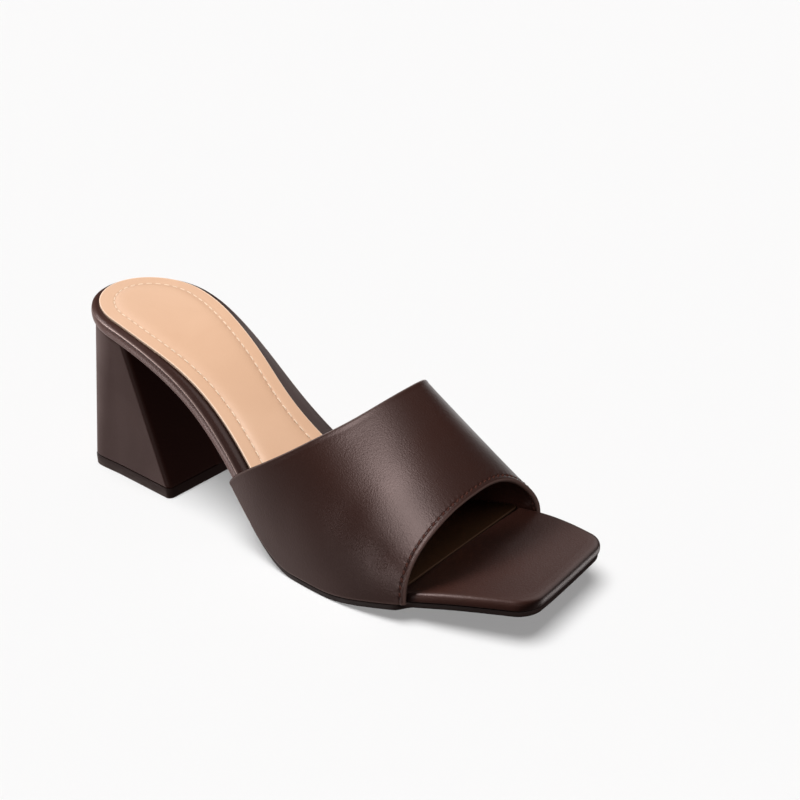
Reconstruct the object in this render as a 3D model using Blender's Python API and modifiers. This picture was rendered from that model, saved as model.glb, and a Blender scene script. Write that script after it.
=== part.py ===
"""Block heel mule, right shoe: one open toed vamp on a covered board and a covered block heel.

Metres, +Z up, +X from heel to toe, +Y to the inner (medial) side. Each piece is lofted in a frame
with x = 0 at the heel's back and y = 0 on the heel's axis. The parent empty then puts the bottom
centre of the whole shoe's box on the world origin.
"""
import math
from collections import namedtuple

import bpy
import numpy as np

# Last: driving sizes
LENGTH = 0.240             # board, heel back to toe front
BALL_WIDTH = 0.082         # board at the ball
SEAT_HEIGHT = 0.0756       # underside of the outsole at the heel's back
TOE_SPRING = 0.0132        # underside of the outsole at the toe
INSTEP_HEIGHT = 0.0662     # crown of the vamp over the floor, at its rear edge
OPENING_HEIGHT = 0.0374    # crown of the vamp over the floor, at the toe opening

# Sole pieces
BOARD_THICKNESS = 0.0042
OUTSOLE_WAIST = 0.0015
OUTSOLE_FOREFOOT = 0.0023
SOCK_THICKNESS = 0.0012
BOARD_TO_SOCK_EDGE = 0.0048
BOARD_TO_SOCK_BACK = 0.0036
OUTSOLE_INSET = 0.0006
OUTSOLE_CHAMFER = 0.0004
OUTSOLE_FADE = 0.0120      # run over which its edge goes out to carry the vamp's foot
TOE_CORNER = 0.0100
TOE_BOW = 0.0006           # how far the middle of the toe's front stands before its corners
SOCK_FRONT = 0.1945        # front edge of the sock from the heel's back
SOCK_CORNER = 0.0030
SEAT_ARC = 0.0300          # length of the round part of the heel seat

# Vamp
WALL = 0.0020
VAMP_REAR = 0.1040         # rear edge where it meets the outsole
VAMP_REAR_CROWN = 0.1600
VAMP_FRONT_LATERAL = 0.1955
VAMP_FRONT_CROWN = 0.1975
VAMP_FRONT_MEDIAL = 0.2030
CROWN_OFFSET_REAR = 0.0100  # the instep's ridge lies to the inner side
CROWN_OFFSET_FRONT = 0.0050
CROWN_BOW = 0.0012         # how far the crown's line stands over a straight one, half way
ARCH_SQUARENESS = 2.5      # exponent of the cross section, 2 is an ellipse
REAR_SWEEP = 0.78          # exponent of the rear edge's run up to the crown
FRONT_SWEEP = 2.20

# Heel
LIFT_THICKNESS = 0.0050
HEEL_BASE_BACK = 0.0025
HEEL_BASE_FRONT = 0.0583
HEEL_BASE_WIDTH_BACK = 0.0510
HEEL_BASE_WIDTH_FRONT = 0.0560
HEEL_BASE_ARC = 0.0200     # length of the base's back corners
HEEL_BASE_SQUARENESS = 8.0
BREAST_TOP = 0.0367        # where the heel's front meets the sole
HEEL_SEAT_INSET = 0.0015   # heel block inside the board, at the seat
HEEL_CORNER = 0.0025
LIFT_MARGIN = 0.0002

# Clearances between pieces
GAP = 0.0003
FOOT_GAP = 0.0005          # foot of the vamp over the outsole
BOARD_TO_VAMP = 0.0004

Plan = namedtuple("Plan", "along medial lateral")
Height = namedtuple("Height", "along height")
Edge = namedtuple("Edge", "inset height")

# Half widths of the board. Shares: along of LENGTH, medial and lateral of BALL_WIDTH.
PLAN = (
    Plan(0.125, 0.355, 0.355),
    Plan(0.217, 0.322, 0.356),
    Plan(0.317, 0.274, 0.353),
    Plan(0.417, 0.270, 0.383),
    Plan(0.521, 0.372, 0.436),
    Plan(0.625, 0.466, 0.471),
    Plan(0.729, 0.513, 0.468),
    Plan(0.833, 0.515, 0.408),
    Plan(1.000, 0.400, 0.252),
)
# Underside from the heel's back to the tread. Shares: along of LENGTH, height of SEAT_HEIGHT.
SHANK = (
    Height(0.000, 1.000),
    Height(0.104, 0.936),
    Height(0.208, 0.845),
    Height(0.313, 0.678),
    Height(0.417, 0.414),
    Height(0.508, 0.136),
    Height(0.596, 0.000),
)
# Underside from the tread to the toe. Shares: along of LENGTH, height of TOE_SPRING.
SPRING = (
    Height(0.660, 0.000),
    Height(0.750, 0.260),
    Height(0.813, 0.505),
    Height(0.875, 0.735),
    Height(1.000, 1.000),
)
# Rolled edge of the board, bottom to top. Shares of BOARD_THICKNESS.
BOARD_EDGE = (
    Edge(0.20, 0.00),
    Edge(0.05, 0.12),
    Edge(0.00, 0.32),
    Edge(0.04, 0.58),
    Edge(0.18, 0.82),
    Edge(0.40, 0.96),
    Edge(0.68, 1.00),
)

# Steps of the lofts
ARC_STEPS = 9
SIDE_STEPS = 30
CORNER_STEPS = 5
FRONT_STEPS = 3
HEEL_RINGS = 5
ARCH_STEPS = 36
VAMP_STEPS = 14


def spline(knots, values, at, start_slope=None, end_slope=None):
    """Cubic spline through the knots. An end without a given slope is natural."""
    knots, values = np.asarray(knots, float), np.asarray(values, float)
    count = len(knots)
    step = np.diff(knots)
    rise = np.diff(values) / step
    matrix, right = np.zeros((count, count)), np.zeros(count)
    for i in range(1, count - 1):
        matrix[i, i - 1:i + 2] = step[i], 2 * (step[i - 1] + step[i]), step[i - 1]
        right[i] = 3 * (step[i] * rise[i - 1] + step[i - 1] * rise[i])
    if start_slope is None:
        matrix[0, :2], right[0] = (2, 1), 3 * rise[0]
    else:
        matrix[0, 0], right[0] = 1, start_slope
    if end_slope is None:
        matrix[-1, -2:], right[-1] = (1, 2), 3 * rise[-1]
    else:
        matrix[-1, -1], right[-1] = 1, end_slope
    slopes = np.linalg.solve(matrix, right)
    at = np.clip(np.asarray(at, float), knots[0], knots[-1])
    k = np.clip(np.searchsorted(knots, at) - 1, 0, count - 2)
    t = (at - knots[k]) / step[k]
    return ((1 + 2 * t) * (1 - t) ** 2 * values[k] + t * (1 - t) ** 2 * step[k] * slopes[k]
            + t * t * (3 - 2 * t) * values[k + 1] + t * t * (t - 1) * step[k] * slopes[k + 1])


def smoothstep(value, low, high):
    t = np.clip((np.asarray(value, float) - low) / (high - low), 0.0, 1.0)
    return t * t * (3 - 2 * t)


def underside(x):
    """Height of the outsole's underside: heel seat, shank, flat tread and toe spring."""
    x = np.asarray(x, float)
    shank_x = [LENGTH * row.along for row in SHANK]
    shank = spline(shank_x, [SEAT_HEIGHT * row.height for row in SHANK], x, end_slope=0.0)
    spring_x = [LENGTH * row.along for row in SPRING]
    spring = spline(spring_x, [TOE_SPRING * row.height for row in SPRING], x, start_slope=0.0)
    return np.where(x < shank_x[-1], shank, np.where(x > spring_x[0], spring, 0.0))


def outsole_thickness(x):
    return OUTSOLE_WAIST + (OUTSOLE_FOREFOOT - OUTSOLE_WAIST) * smoothstep(x, VAMP_REAR, SHANK[-1].along * LENGTH)


def level(x, above=0.0):
    """Height at x of the surface that lies `above` the underside, measured square to it."""
    along = np.linspace(0.0, LENGTH, 481)
    height = underside(along)
    slope = np.gradient(height, along)
    square = np.sqrt(1.0 + slope ** 2)
    distance = above(along) if callable(above) else above
    return np.interp(x, along - distance * slope / square, height + distance / square)


def board_bottom(x):
    return outsole_thickness(x) + GAP


def board_top(x):
    return board_bottom(x) + BOARD_THICKNESS


def board_width(x, side):
    """Half width of the board at x, on side "medial" or "lateral"."""
    return spline([LENGTH * row.along for row in PLAN],
                  [BALL_WIDTH * getattr(row, side) for row in PLAN], x, start_slope=0.0)


def sole_edge(inset):
    """Half width of the board less an inset, a number or a function of x and side."""
    def width(x, side):
        step = LENGTH / 1000
        slope = (board_width(x + step, side) - board_width(x - step, side)) / (2 * step)
        return board_width(x, side) - (inset(x, side) if callable(inset) else inset) * np.sqrt(1 + slope ** 2)
    return width


def half_outline(width, side, back, arc, front, corner, squareness=2.0, bow=0.0):
    """Half of a plan outline, from the middle of the back to the middle of the front.

    The back is a quarter of a superellipse `arc` long, the side follows `width` and the front
    corner is an arc of radius `corner`.
    """
    turn = np.linspace(0.0, math.pi / 2, ARC_STEPS)
    power = 2.0 / squareness
    start = width(arc, side)
    back_x = back + (arc - back) * (1 - np.abs(np.cos(turn)) ** power)
    back_y = start * np.sin(turn) ** power
    tip = width(front, side)
    reach = front - corner
    run = np.array([reach - front, width(reach, side) - tip])
    run = run / np.linalg.norm(run)
    angle = math.acos(-run[1])
    cut = corner / math.tan(angle / 2)
    begin = front + run[0] * cut
    side_x = np.linspace(arc, begin, SIDE_STEPS)[1:]
    side_y = width(side_x, side)
    middle = run + np.array([0.0, -1.0])
    centre = np.array([front, tip]) + middle / np.linalg.norm(middle) * corner / math.sin(angle / 2)
    first = math.atan2(side_y[-1] - centre[1], begin - centre[0])
    sweep = np.linspace(first, 0.0, CORNER_STEPS)[1:]
    corner_x, corner_y = centre[0] + corner * np.cos(sweep), centre[1] + corner * np.sin(sweep)
    front_y = np.linspace(centre[1], 0.0, FRONT_STEPS + 1)[1:]
    x = np.concatenate([back_x, side_x, corner_x, np.full(FRONT_STEPS, front)])
    y = np.concatenate([back_y, side_y, corner_y, front_y])
    x = x - bow * (y / tip) ** 2 * smoothstep(x, front - 2 * corner, front)
    return np.column_stack([x, y if side == "medial" else -y])


def outline(**shape):
    """Closed plan outline: up the medial half and back along the lateral half."""
    medial = half_outline(side="medial", **shape)
    lateral = half_outline(side="lateral", **shape)
    return np.vstack([medial, lateral[-2:0:-1]])


def board_outline(inset):
    """The board's outline, drawn in by an inset that is a number or a function of x and side."""
    end = inset(LENGTH, "medial") if callable(inset) else inset
    heel = inset(0.0, "medial") if callable(inset) else inset
    return outline(width=sole_edge(inset), back=heel, arc=SEAT_ARC, front=LENGTH - end,
                   corner=TOE_CORNER - end, bow=TOE_BOW)


def at_level(plan, above):
    return np.column_stack([plan, level(plan[:, 0], above)])


def loft(name, rings):
    """Solid through closed rings of equal count. Its ends are strips from side to side."""
    count = len(rings[0])
    points = np.vstack(rings)
    faces = []
    for r in range(len(rings) - 1):
        low, high = r * count, (r + 1) * count
        faces += [(low + i, high + i, high + (i + 1) % count, low + (i + 1) % count) for i in range(count)]
    for base, flip in ((0, False), ((len(rings) - 1) * count, True)):
        for i in range(count // 2):
            strip = [base + i, base + i + 1, base + (count - i - 1) % count, base + (count - i) % count]
            strip = [v for n, v in enumerate(strip) if v not in strip[:n]]
            faces.append(tuple(strip[::-1] if flip else strip))
    mesh = bpy.data.meshes.new(name)
    mesh.from_pydata(points.tolist(), [], faces)
    return mesh


def vamp_point(x, turn):
    """Outer surface of the vamp. turn runs from 0 at the lateral foot to pi at the medial foot."""
    run = (x - VAMP_REAR_CROWN) / (VAMP_FRONT_CROWN - VAMP_REAR_CROWN)
    foot = level(x, lambda at: outsole_thickness(at) + FOOT_GAP)
    crown = INSTEP_HEIGHT + (OPENING_HEIGHT - INSTEP_HEIGHT) * run
    crown = crown + 4 * CROWN_BOW * np.clip(run * (1 - run), 0.0, None)
    ridge = CROWN_OFFSET_REAR + (CROWN_OFFSET_FRONT - CROWN_OFFSET_REAR) * run
    outside = sole_edge(-(BOARD_TO_VAMP + WALL))
    power = 2.0 / ARCH_SQUARENESS
    across, up = np.abs(np.cos(turn)) ** power, np.abs(np.sin(turn)) ** power
    y = np.where(turn < math.pi / 2, ridge - (outside(x, "lateral") + ridge) * across,
                 ridge + (outside(x, "medial") - ridge) * across)
    return np.stack([x, y, foot + (crown - foot) * up], -1)


def vamp_rear(turn):
    return VAMP_REAR + (VAMP_REAR_CROWN - VAMP_REAR) * np.abs(np.sin(turn)) ** REAR_SWEEP


def vamp_front(turn):
    feet = VAMP_FRONT_LATERAL + (VAMP_FRONT_MEDIAL - VAMP_FRONT_LATERAL) * (1 - np.cos(turn)) / 2
    return feet + (VAMP_FRONT_CROWN - feet) * np.abs(np.sin(turn)) ** FRONT_SWEEP


def vamp_turns():
    """Steps across the vamp, closer together near the feet, where the side turns into the crown."""
    share = np.linspace(0.0, 1.0, ARCH_STEPS + 1)
    return math.pi * (share - 0.10 * np.sin(4 * math.pi * share) / (2 * math.pi))


def make_upper():
    turn = vamp_turns()[:, None]
    share = np.linspace(0.0, 1.0, VAMP_STEPS + 1)[None, :]
    x = vamp_rear(turn) * (1 - share) + vamp_front(turn) * share
    points = vamp_point(x, np.broadcast_to(turn, x.shape)).reshape(-1, 3)
    row = VAMP_STEPS + 1
    faces = [(r * row + c, r * row + c + 1, (r + 1) * row + c + 1, (r + 1) * row + c)
             for r in range(ARCH_STEPS) for c in range(VAMP_STEPS)]
    mesh = bpy.data.meshes.new("upper")
    mesh.from_pydata(points.tolist(), [], faces)
    upper = add_piece(mesh, UPPER_LEATHER)
    shell = upper.modifiers.new("wall", "SOLIDIFY")
    shell.thickness = WALL
    shell.offset = -1.0
    shell.use_even_offset = True
    return upper


def outsole_inset(x, side):
    """The outsole is inside the board's edge, and under the vamp it carries the vamp's foot."""
    front = VAMP_FRONT_MEDIAL if side == "medial" else VAMP_FRONT_LATERAL
    behind = smoothstep(x, VAMP_REAR - OUTSOLE_FADE, VAMP_REAR)
    ahead = smoothstep(x, front, front + OUTSOLE_FADE)
    flange = behind * (1 - ahead)
    return OUTSOLE_INSET - flange * (OUTSOLE_INSET + BOARD_TO_VAMP + WALL)


def make_outsole():
    def chamfered(x, side):
        return outsole_inset(x, side) + OUTSOLE_CHAMFER
    rings = [at_level(board_outline(chamfered), 0.0),
             at_level(board_outline(outsole_inset), OUTSOLE_CHAMFER),
             at_level(board_outline(outsole_inset), outsole_thickness)]
    return add_piece(loft("outsole", rings), OUTSOLE_RUBBER)


def make_board():
    rings = []
    for row in BOARD_EDGE:
        plan = board_outline(row.inset * BOARD_THICKNESS)
        rings.append(at_level(plan, lambda x, rise=row.height: board_bottom(x) + rise * BOARD_THICKNESS))
    return add_piece(loft("insole_board", rings), UPPER_LEATHER)


def make_sock():
    def plan(extra):
        return outline(width=sole_edge(BOARD_TO_SOCK_EDGE + extra), back=BOARD_TO_SOCK_BACK + extra,
                       arc=SEAT_ARC, front=SOCK_FRONT - extra, corner=SOCK_CORNER - extra)
    edge = SOCK_THICKNESS / 3
    rings = [at_level(plan(0.0), lambda x: board_top(x) + GAP),
             at_level(plan(0.0), lambda x: board_top(x) + GAP + SOCK_THICKNESS - edge),
             at_level(plan(edge), lambda x: board_top(x) + GAP + SOCK_THICKNESS)]
    return add_piece(loft("sock", rings), SOCK_LEATHER)


def heel_base_outline(margin):
    """Plan of the heel's base, nearly a rectangle and a little wider in front."""
    def width(x, side):
        share = (x - HEEL_BASE_BACK) / (HEEL_BASE_FRONT - HEEL_BASE_BACK)
        return margin + (HEEL_BASE_WIDTH_BACK + (HEEL_BASE_WIDTH_FRONT - HEEL_BASE_WIDTH_BACK) * share) / 2
    return outline(width=width, back=HEEL_BASE_BACK - margin, arc=HEEL_BASE_BACK + HEEL_BASE_ARC,
                   front=HEEL_BASE_FRONT + margin, corner=HEEL_CORNER, squareness=HEEL_BASE_SQUARENESS)


def make_heel_block():
    """Straight lines from the base up to the round heel seat under the outsole."""
    base = heel_base_outline(0.0)
    base = np.column_stack([base, np.full(len(base), LIFT_THICKNESS + GAP)])
    seat = outline(width=sole_edge(HEEL_SEAT_INSET), back=HEEL_SEAT_INSET, arc=SEAT_ARC,
                   front=BREAST_TOP, corner=HEEL_CORNER)
    seat = at_level(seat, -GAP)
    shares = np.linspace(0.0, 1.0, HEEL_RINGS)
    return add_piece(loft("heel_block", [base * (1 - s) + seat * s for s in shares]), UPPER_LEATHER)


def make_top_lift():
    plan = heel_base_outline(LIFT_MARGIN)
    mesh = bpy.data.meshes.new("top_lift")
    mesh.from_pydata([(x, y, 0.0) for x, y in plan], [], [tuple(range(len(plan)))])
    lift = add_piece(mesh, OUTSOLE_RUBBER)
    body = lift.modifiers.new("thickness", "SOLIDIFY")
    body.thickness = LIFT_THICKNESS
    body.offset = -1.0
    return lift


def finish(name, colour, roughness):
    material = bpy.data.materials.new(name)
    material.use_nodes = True
    shader = material.node_tree.nodes["Principled BSDF"]
    shader.inputs["Base Color"].default_value = (*colour, 1.0)
    shader.inputs["Roughness"].default_value = roughness
    return material


def add_piece(mesh, material):
    """Object from a mesh, in the shoe's collection, smooth shaded and in its material."""
    mesh.validate()
    mesh.update()
    mesh.shade_smooth()
    mesh.set_sharp_from_angle(angle=math.radians(35))
    mesh.materials.append(material)
    piece = bpy.data.objects.new(mesh.name, mesh)
    SHOE.objects.link(piece)
    return piece


def place(pieces):
    """Parent the pieces to an empty that puts the box's bottom centre on the origin."""
    bpy.context.view_layer.update()
    corners = np.array([piece.matrix_world @ v.co for piece in pieces for v in piece.data.vertices])
    low, high = corners.min(axis=0), corners.max(axis=0)
    root = bpy.data.objects.new("shoe_frame", None)
    root.location = (-(low[0] + high[0]) / 2, -(low[1] + high[1]) / 2, 0.0)
    SHOE.objects.link(root)
    for piece in pieces:
        piece.parent = root


for leftover in list(bpy.data.objects):
    bpy.data.objects.remove(leftover)

SHOE = bpy.data.collections.new("block_heel_mule")
bpy.context.scene.collection.children.link(SHOE)
UPPER_LEATHER = finish("dark_brown_leather", (0.045, 0.026, 0.022), 0.38)
SOCK_LEATHER = finish("tan_leather", (0.72, 0.47, 0.31), 0.55)
OUTSOLE_RUBBER = finish("brown_rubber", (0.035, 0.024, 0.021), 0.55)

place([make_outsole(), make_board(), make_sock(), make_upper(), make_heel_block(), make_top_lift()])
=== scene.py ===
"""Block heel mule, right shoe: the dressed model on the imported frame.

Every surface is a function of two parameters, worked out as whole numpy arrays. Sizes are metres.
Pieces are laid out in the shoe's own frame, with x = 0 at the heel's back, +X to the toe, +Y to the
inner (medial) side and z = 0 on the floor, and are then moved to where the frame's solids are.
"""
from __future__ import annotations

import logging
import math
from dataclasses import dataclass, field
from enum import Enum
from typing import Callable

import bmesh
import bpy
import numpy as np
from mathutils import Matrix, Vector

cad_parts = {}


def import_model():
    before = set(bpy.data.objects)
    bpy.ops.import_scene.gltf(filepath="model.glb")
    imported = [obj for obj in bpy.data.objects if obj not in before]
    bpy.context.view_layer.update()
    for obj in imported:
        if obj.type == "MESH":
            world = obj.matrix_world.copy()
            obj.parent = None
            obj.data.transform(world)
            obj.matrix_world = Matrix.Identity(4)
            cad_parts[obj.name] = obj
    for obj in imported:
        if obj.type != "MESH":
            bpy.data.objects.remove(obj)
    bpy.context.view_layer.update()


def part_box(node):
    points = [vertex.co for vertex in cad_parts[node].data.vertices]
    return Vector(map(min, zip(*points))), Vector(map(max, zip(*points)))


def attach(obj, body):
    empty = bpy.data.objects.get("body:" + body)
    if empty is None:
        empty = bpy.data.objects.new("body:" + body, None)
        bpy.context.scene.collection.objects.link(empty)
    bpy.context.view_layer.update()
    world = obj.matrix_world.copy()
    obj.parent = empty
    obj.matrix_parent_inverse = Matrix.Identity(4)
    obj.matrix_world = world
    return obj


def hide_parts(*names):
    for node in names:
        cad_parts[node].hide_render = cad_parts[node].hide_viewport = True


Array = np.ndarray
Width = Callable[[Array, "Side"], Array]
LOG = logging.getLogger("mule")
MM = 0.001


class Side(Enum):
    """Inner or outer side of the shoe. The value is the sign of y."""

    MEDIAL = 1.0
    LATERAL = -1.0


class Slot(Enum):
    """Material slots of the record."""

    OUTSOLE = "outsole"
    BOARD = "board_cover"
    SOCK = "sock_leather"
    UPPER = "upper_leather"
    HEEL = "heel_cover"
    LIFT = "lift_rubber"


# Curves


def spline(knots: Array, values: Array, at: Array, start: float | None = None,
           end: float | None = None) -> Array:
    """Cubic spline through the knots: Hermite pieces whose slopes make the second derivative continuous.

    Args:
        knots: rising positions.
        values: value at each knot.
        at: where it is wanted, held inside the knots.
        start: slope at the first knot, or None for a natural end.
        end: slope at the last knot, or None for a natural end.

    Returns:
        The values at `at`.
    """
    knots, values = np.asarray(knots, float), np.asarray(values, float)
    step = np.diff(knots)
    rise = np.diff(values) / step
    count = len(knots)
    matrix, right = np.zeros((count, count)), np.zeros(count)
    inner = np.arange(1, count - 1)
    matrix[inner, inner - 1], matrix[inner, inner + 1] = step[1:], step[:-1]
    matrix[inner, inner] = 2 * (step[:-1] + step[1:])
    right[inner] = 3 * (step[1:] * rise[:-1] + step[:-1] * rise[1:])
    if start is None:
        matrix[0, :2], right[0] = (2, 1), 3 * rise[0]
    else:
        matrix[0, 0], right[0] = 1, start
    if end is None:
        matrix[-1, -2:], right[-1] = (1, 2), 3 * rise[-1]
    else:
        matrix[-1, -1], right[-1] = 1, end
    slopes = np.linalg.solve(matrix, right)
    at = np.clip(np.asarray(at, float), knots[0], knots[-1])
    k = np.clip(np.searchsorted(knots, at) - 1, 0, count - 2)
    t = (at - knots[k]) / step[k]
    return ((1 + 2 * t) * (1 - t) ** 2 * values[k] + t * (1 - t) ** 2 * step[k] * slopes[k]
            + t * t * (3 - 2 * t) * values[k + 1] + t * t * (t - 1) * step[k] * slopes[k + 1])


def smoothstep(value: Array, low: float, high: float) -> Array:
    """Rises from 0 at low to 1 at high as t*t*(3 - 2t)."""
    t = np.clip((np.asarray(value, float) - low) / (high - low), 0.0, 1.0)
    return t * t * (3 - 2 * t)


def bell(value: Array, centre: float, width: float) -> Array:
    """Gaussian bump of height 1: exp(-((value - centre) / width) ** 2)."""
    return np.exp(-((value - centre) / width) ** 2)


def unit(vectors: Array) -> Array:
    """The vectors scaled to length 1 along the last axis."""
    return vectors / np.maximum(np.linalg.norm(vectors, axis=-1, keepdims=True), 1e-12)


def run_length(points: Array) -> Array:
    """Distance travelled along a row of points, from 0 at the first."""
    return np.concatenate([[0.0], np.cumsum(np.linalg.norm(np.diff(points, axis=0), axis=1))])


def profile_table(rows: tuple[tuple[float, float], ...], count: int) -> Array:
    """A profile's corner points turned into `count` points on one smooth curve.

    The curve is a spline of each coordinate over the distance along the corner points.

    Args:
        rows: the profile's points in order.
        count: number of points wanted.

    Returns:
        Array (count, 2).
    """
    points = np.asarray(rows, float)
    along = run_length(points)
    at = np.linspace(0.0, along[-1], count)
    return np.column_stack([spline(along, points[:, 0], at), spline(along, points[:, 1], at)])


# Meshes


@dataclass
class Form:
    """Points, four sided faces and named marks of one surface, before it becomes a mesh."""

    points: Array
    faces: Array
    marks: dict[str, Array] = field(default_factory=dict)

    @staticmethod
    def grid(points: Array, wrap_columns: bool = False, **marks: Array) -> "Form":
        """Surface through a grid of points; face (r, c) joins rows r, r+1 and columns c, c+1.

        Args:
            points: array (rows, columns, 3).
            wrap_columns: joins the last column to the first.
            marks: arrays (rows, columns) kept as attributes on the points.

        Returns:
            The form.
        """
        rows, columns = points.shape[:2]
        r = np.arange(rows - 1)[:, None]
        c = np.arange(columns if wrap_columns else columns - 1)[None, :]
        r2, c2 = r + 1, (c + 1) % columns
        faces = np.stack(np.broadcast_arrays(r * columns + c, r2 * columns + c,
                                             r2 * columns + c2, r * columns + c2), -1)
        flat = {name: np.broadcast_to(mark, (rows, columns)).reshape(-1) for name, mark in marks.items()}
        return Form(points.reshape(-1, 3), faces.reshape(-1, 4), flat)

    def capped(self, row_length: int, fold: int, rows: tuple[int, ...]) -> "Form":
        """Closes wrapped rows with strips between points i and fold - i, which lie across the row's middle.

        Args:
            row_length: points in a row.
            fold: odd number whose two mirrored points are neighbours.
            rows: numbers of the rows to close.

        Returns:
            The form with its caps.
        """
        low = (fold + 1) // 2 + np.arange(row_length // 2 - 1)
        strip = np.stack([low, low + 1, fold - low - 1, fold - low], -1) % row_length
        caps = [strip + row * row_length for row in rows]
        return Form(self.points, np.vstack([self.faces, *caps]), self.marks)

    def joined(self, other: "Form") -> "Form":
        """This form and another as one; marks that one of them lacks are 0 there."""
        names = {*self.marks, *other.marks}
        empty = {name: (np.zeros(len(self.points)), np.zeros(len(other.points))) for name in names}
        marks = {name: np.concatenate([self.marks.get(name, empty[name][0]),
                                       other.marks.get(name, empty[name][1])]) for name in names}
        return Form(np.vstack([self.points, other.points]),
                    np.vstack([self.faces, other.faces + len(self.points)]), marks)


def mesh_object(name: str, points: Array, faces: Array, material: bpy.types.Material) -> bpy.types.Object:
    """Smooth mesh object of that name in the scene, wearing the material."""
    mesh = bpy.data.meshes.new(name)
    mesh.from_pydata(points.tolist(), [], faces.tolist())
    mesh.shade_smooth()
    mesh.materials.append(material)
    made = bpy.data.objects.new(name, mesh)
    bpy.context.scene.collection.objects.link(made)
    return made


@dataclass
class Bench:
    """Turns forms into finished pieces of the row frame."""

    shift: tuple[float, float, float]
    made: list[bpy.types.Object] = field(default_factory=list)

    def piece(self, name: str, form: Form, material: bpy.types.Material, slot: Slot,
              stands_for: str | None = None, crease: float = 40.0) -> bpy.types.Object:
        """Makes a mesh object from a form: doubles merged, faces outwards, smooth but for its creases.

        Args:
            name: name of the piece.
            form: the surface in the shoe's own frame.
            material: its finish.
            slot: slot of the record that the finish belongs to; not used.
            stands_for: CAD node that it replaces.
            crease: angle in degrees above which an edge is sharp.

        Returns:
            The object, riding on the frame.
        """
        piece = mesh_object(name, form.points + np.asarray(self.shift), form.faces, material)
        mesh = piece.data
        for mark, values in form.marks.items():
            mesh.attributes.new(mark, "FLOAT", "POINT").data.foreach_set("value", values.astype(np.float32))
        work = bmesh.new()
        work.from_mesh(mesh)
        bmesh.ops.remove_doubles(work, verts=work.verts, dist=2e-6)
        bmesh.ops.dissolve_degenerate(work, edges=work.edges, dist=1e-7)
        bmesh.ops.recalc_face_normals(work, faces=work.faces)
        work.to_mesh(mesh)
        work.free()
        mesh.set_sharp_from_angle(angle=math.radians(crease))
        if stands_for:
            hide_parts(stands_for)
        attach(piece, "root")
        self.made.append(piece)
        LOG.info("%s: %d points, %d faces", name, len(mesh.vertices), len(mesh.polygons))
        return piece


# Finishes


class Graph:
    """A material's node tree with one Principled shader, written a node at a time."""

    def __init__(self, name: str) -> None:
        """Starts a material of that name."""
        self.material = bpy.data.materials.new(name)
        self.material.use_nodes = True
        self.tree = self.material.node_tree
        self.shader = self.tree.nodes["Principled BSDF"]

    def node(self, kind: str, inputs: dict[str | int, object] | None = None,
             **settings: object) -> bpy.types.Node:
        """Adds a node.

        Args:
            kind: Blender's node type.
            inputs: values or output sockets for the named inputs.
            settings: the node's own properties.

        Returns:
            The node.
        """
        node = self.tree.nodes.new(kind)
        for key, value in settings.items():
            setattr(node, key, value)
        for key, value in (inputs or {}).items():
            self.feed(node.inputs[key], value)
        return node

    def feed(self, socket: bpy.types.NodeSocket, value: object) -> None:
        """Links an output socket to an input, or sets the input's own value."""
        if isinstance(value, bpy.types.NodeSocket):
            self.tree.links.new(value, socket)
        else:
            socket.default_value = value

    def place(self, scale: tuple[float, float, float] = (1, 1, 1)) -> bpy.types.NodeSocket:
        """Object coordinates in metres, stretched by a Mapping node."""
        where = self.node("ShaderNodeTexCoord").outputs["Object"]
        return self.node("ShaderNodeMapping", {"Vector": where, "Scale": scale}).outputs["Vector"]

    def noise(self, vector: bpy.types.NodeSocket, scale: float, detail: float = 3.0,
              distortion: float = 0.0) -> bpy.types.NodeSocket:
        """Soft noise of `scale` cells a metre."""
        return self.node("ShaderNodeTexNoise", {"Vector": vector, "Scale": scale, "Detail": detail,
                                                "Distortion": distortion}).outputs["Fac"]

    def cells(self, vector: bpy.types.NodeSocket, scale: float) -> bpy.types.NodeSocket:
        """Distance in a cell pattern of `scale` cells a metre."""
        return self.node("ShaderNodeTexVoronoi", {"Vector": vector, "Scale": scale}).outputs["Distance"]

    def mark(self, name: str) -> bpy.types.NodeSocket:
        """A mark that the piece carries on its points."""
        return self.node("ShaderNodeAttribute", attribute_name=name).outputs["Fac"]

    def ranged(self, value: bpy.types.NodeSocket, low: float, high: float, to_low: float,
               to_high: float) -> bpy.types.NodeSocket:
        """Maps low..high to to_low..to_high, held at both ends."""
        return self.node("ShaderNodeMapRange", {"Value": value, "From Min": low, "From Max": high,
                                                "To Min": to_low, "To Max": to_high}).outputs["Result"]

    def sum(self, *terms: tuple[bpy.types.NodeSocket, float]) -> bpy.types.NodeSocket:
        """Weighted sum of values."""
        total: object = 0.0
        for value, weight in terms:
            total = self.node("ShaderNodeMath", {0: value, 1: weight, 2: total},
                              operation="MULTIPLY_ADD").outputs[0]
        return total

    def blend(self, share: bpy.types.NodeSocket, first: object, second: object) -> bpy.types.NodeSocket:
        """Colour between first (share 0) and second (share 1)."""
        node = self.node("ShaderNodeMix", data_type="RGBA")
        self.feed(node.inputs["Factor"], share)
        self.feed(node.inputs[6], first)
        self.feed(node.inputs[7], second)
        return node.outputs[2]

    def relief(self, height: bpy.types.NodeSocket, depth: float) -> None:
        """Bumps the shader by a height of 0..1 that stands `depth` metres."""
        bump = self.node("ShaderNodeBump", {"Height": height, "Strength": 1.0, "Distance": depth})
        self.feed(self.shader.inputs["Normal"], bump.outputs["Normal"])

    def set(self, **values: object) -> None:
        """Sets the shader's sockets; underscores stand for spaces."""
        for key, value in values.items():
            self.feed(self.shader.inputs[key.replace("_", " ")], value)


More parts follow.
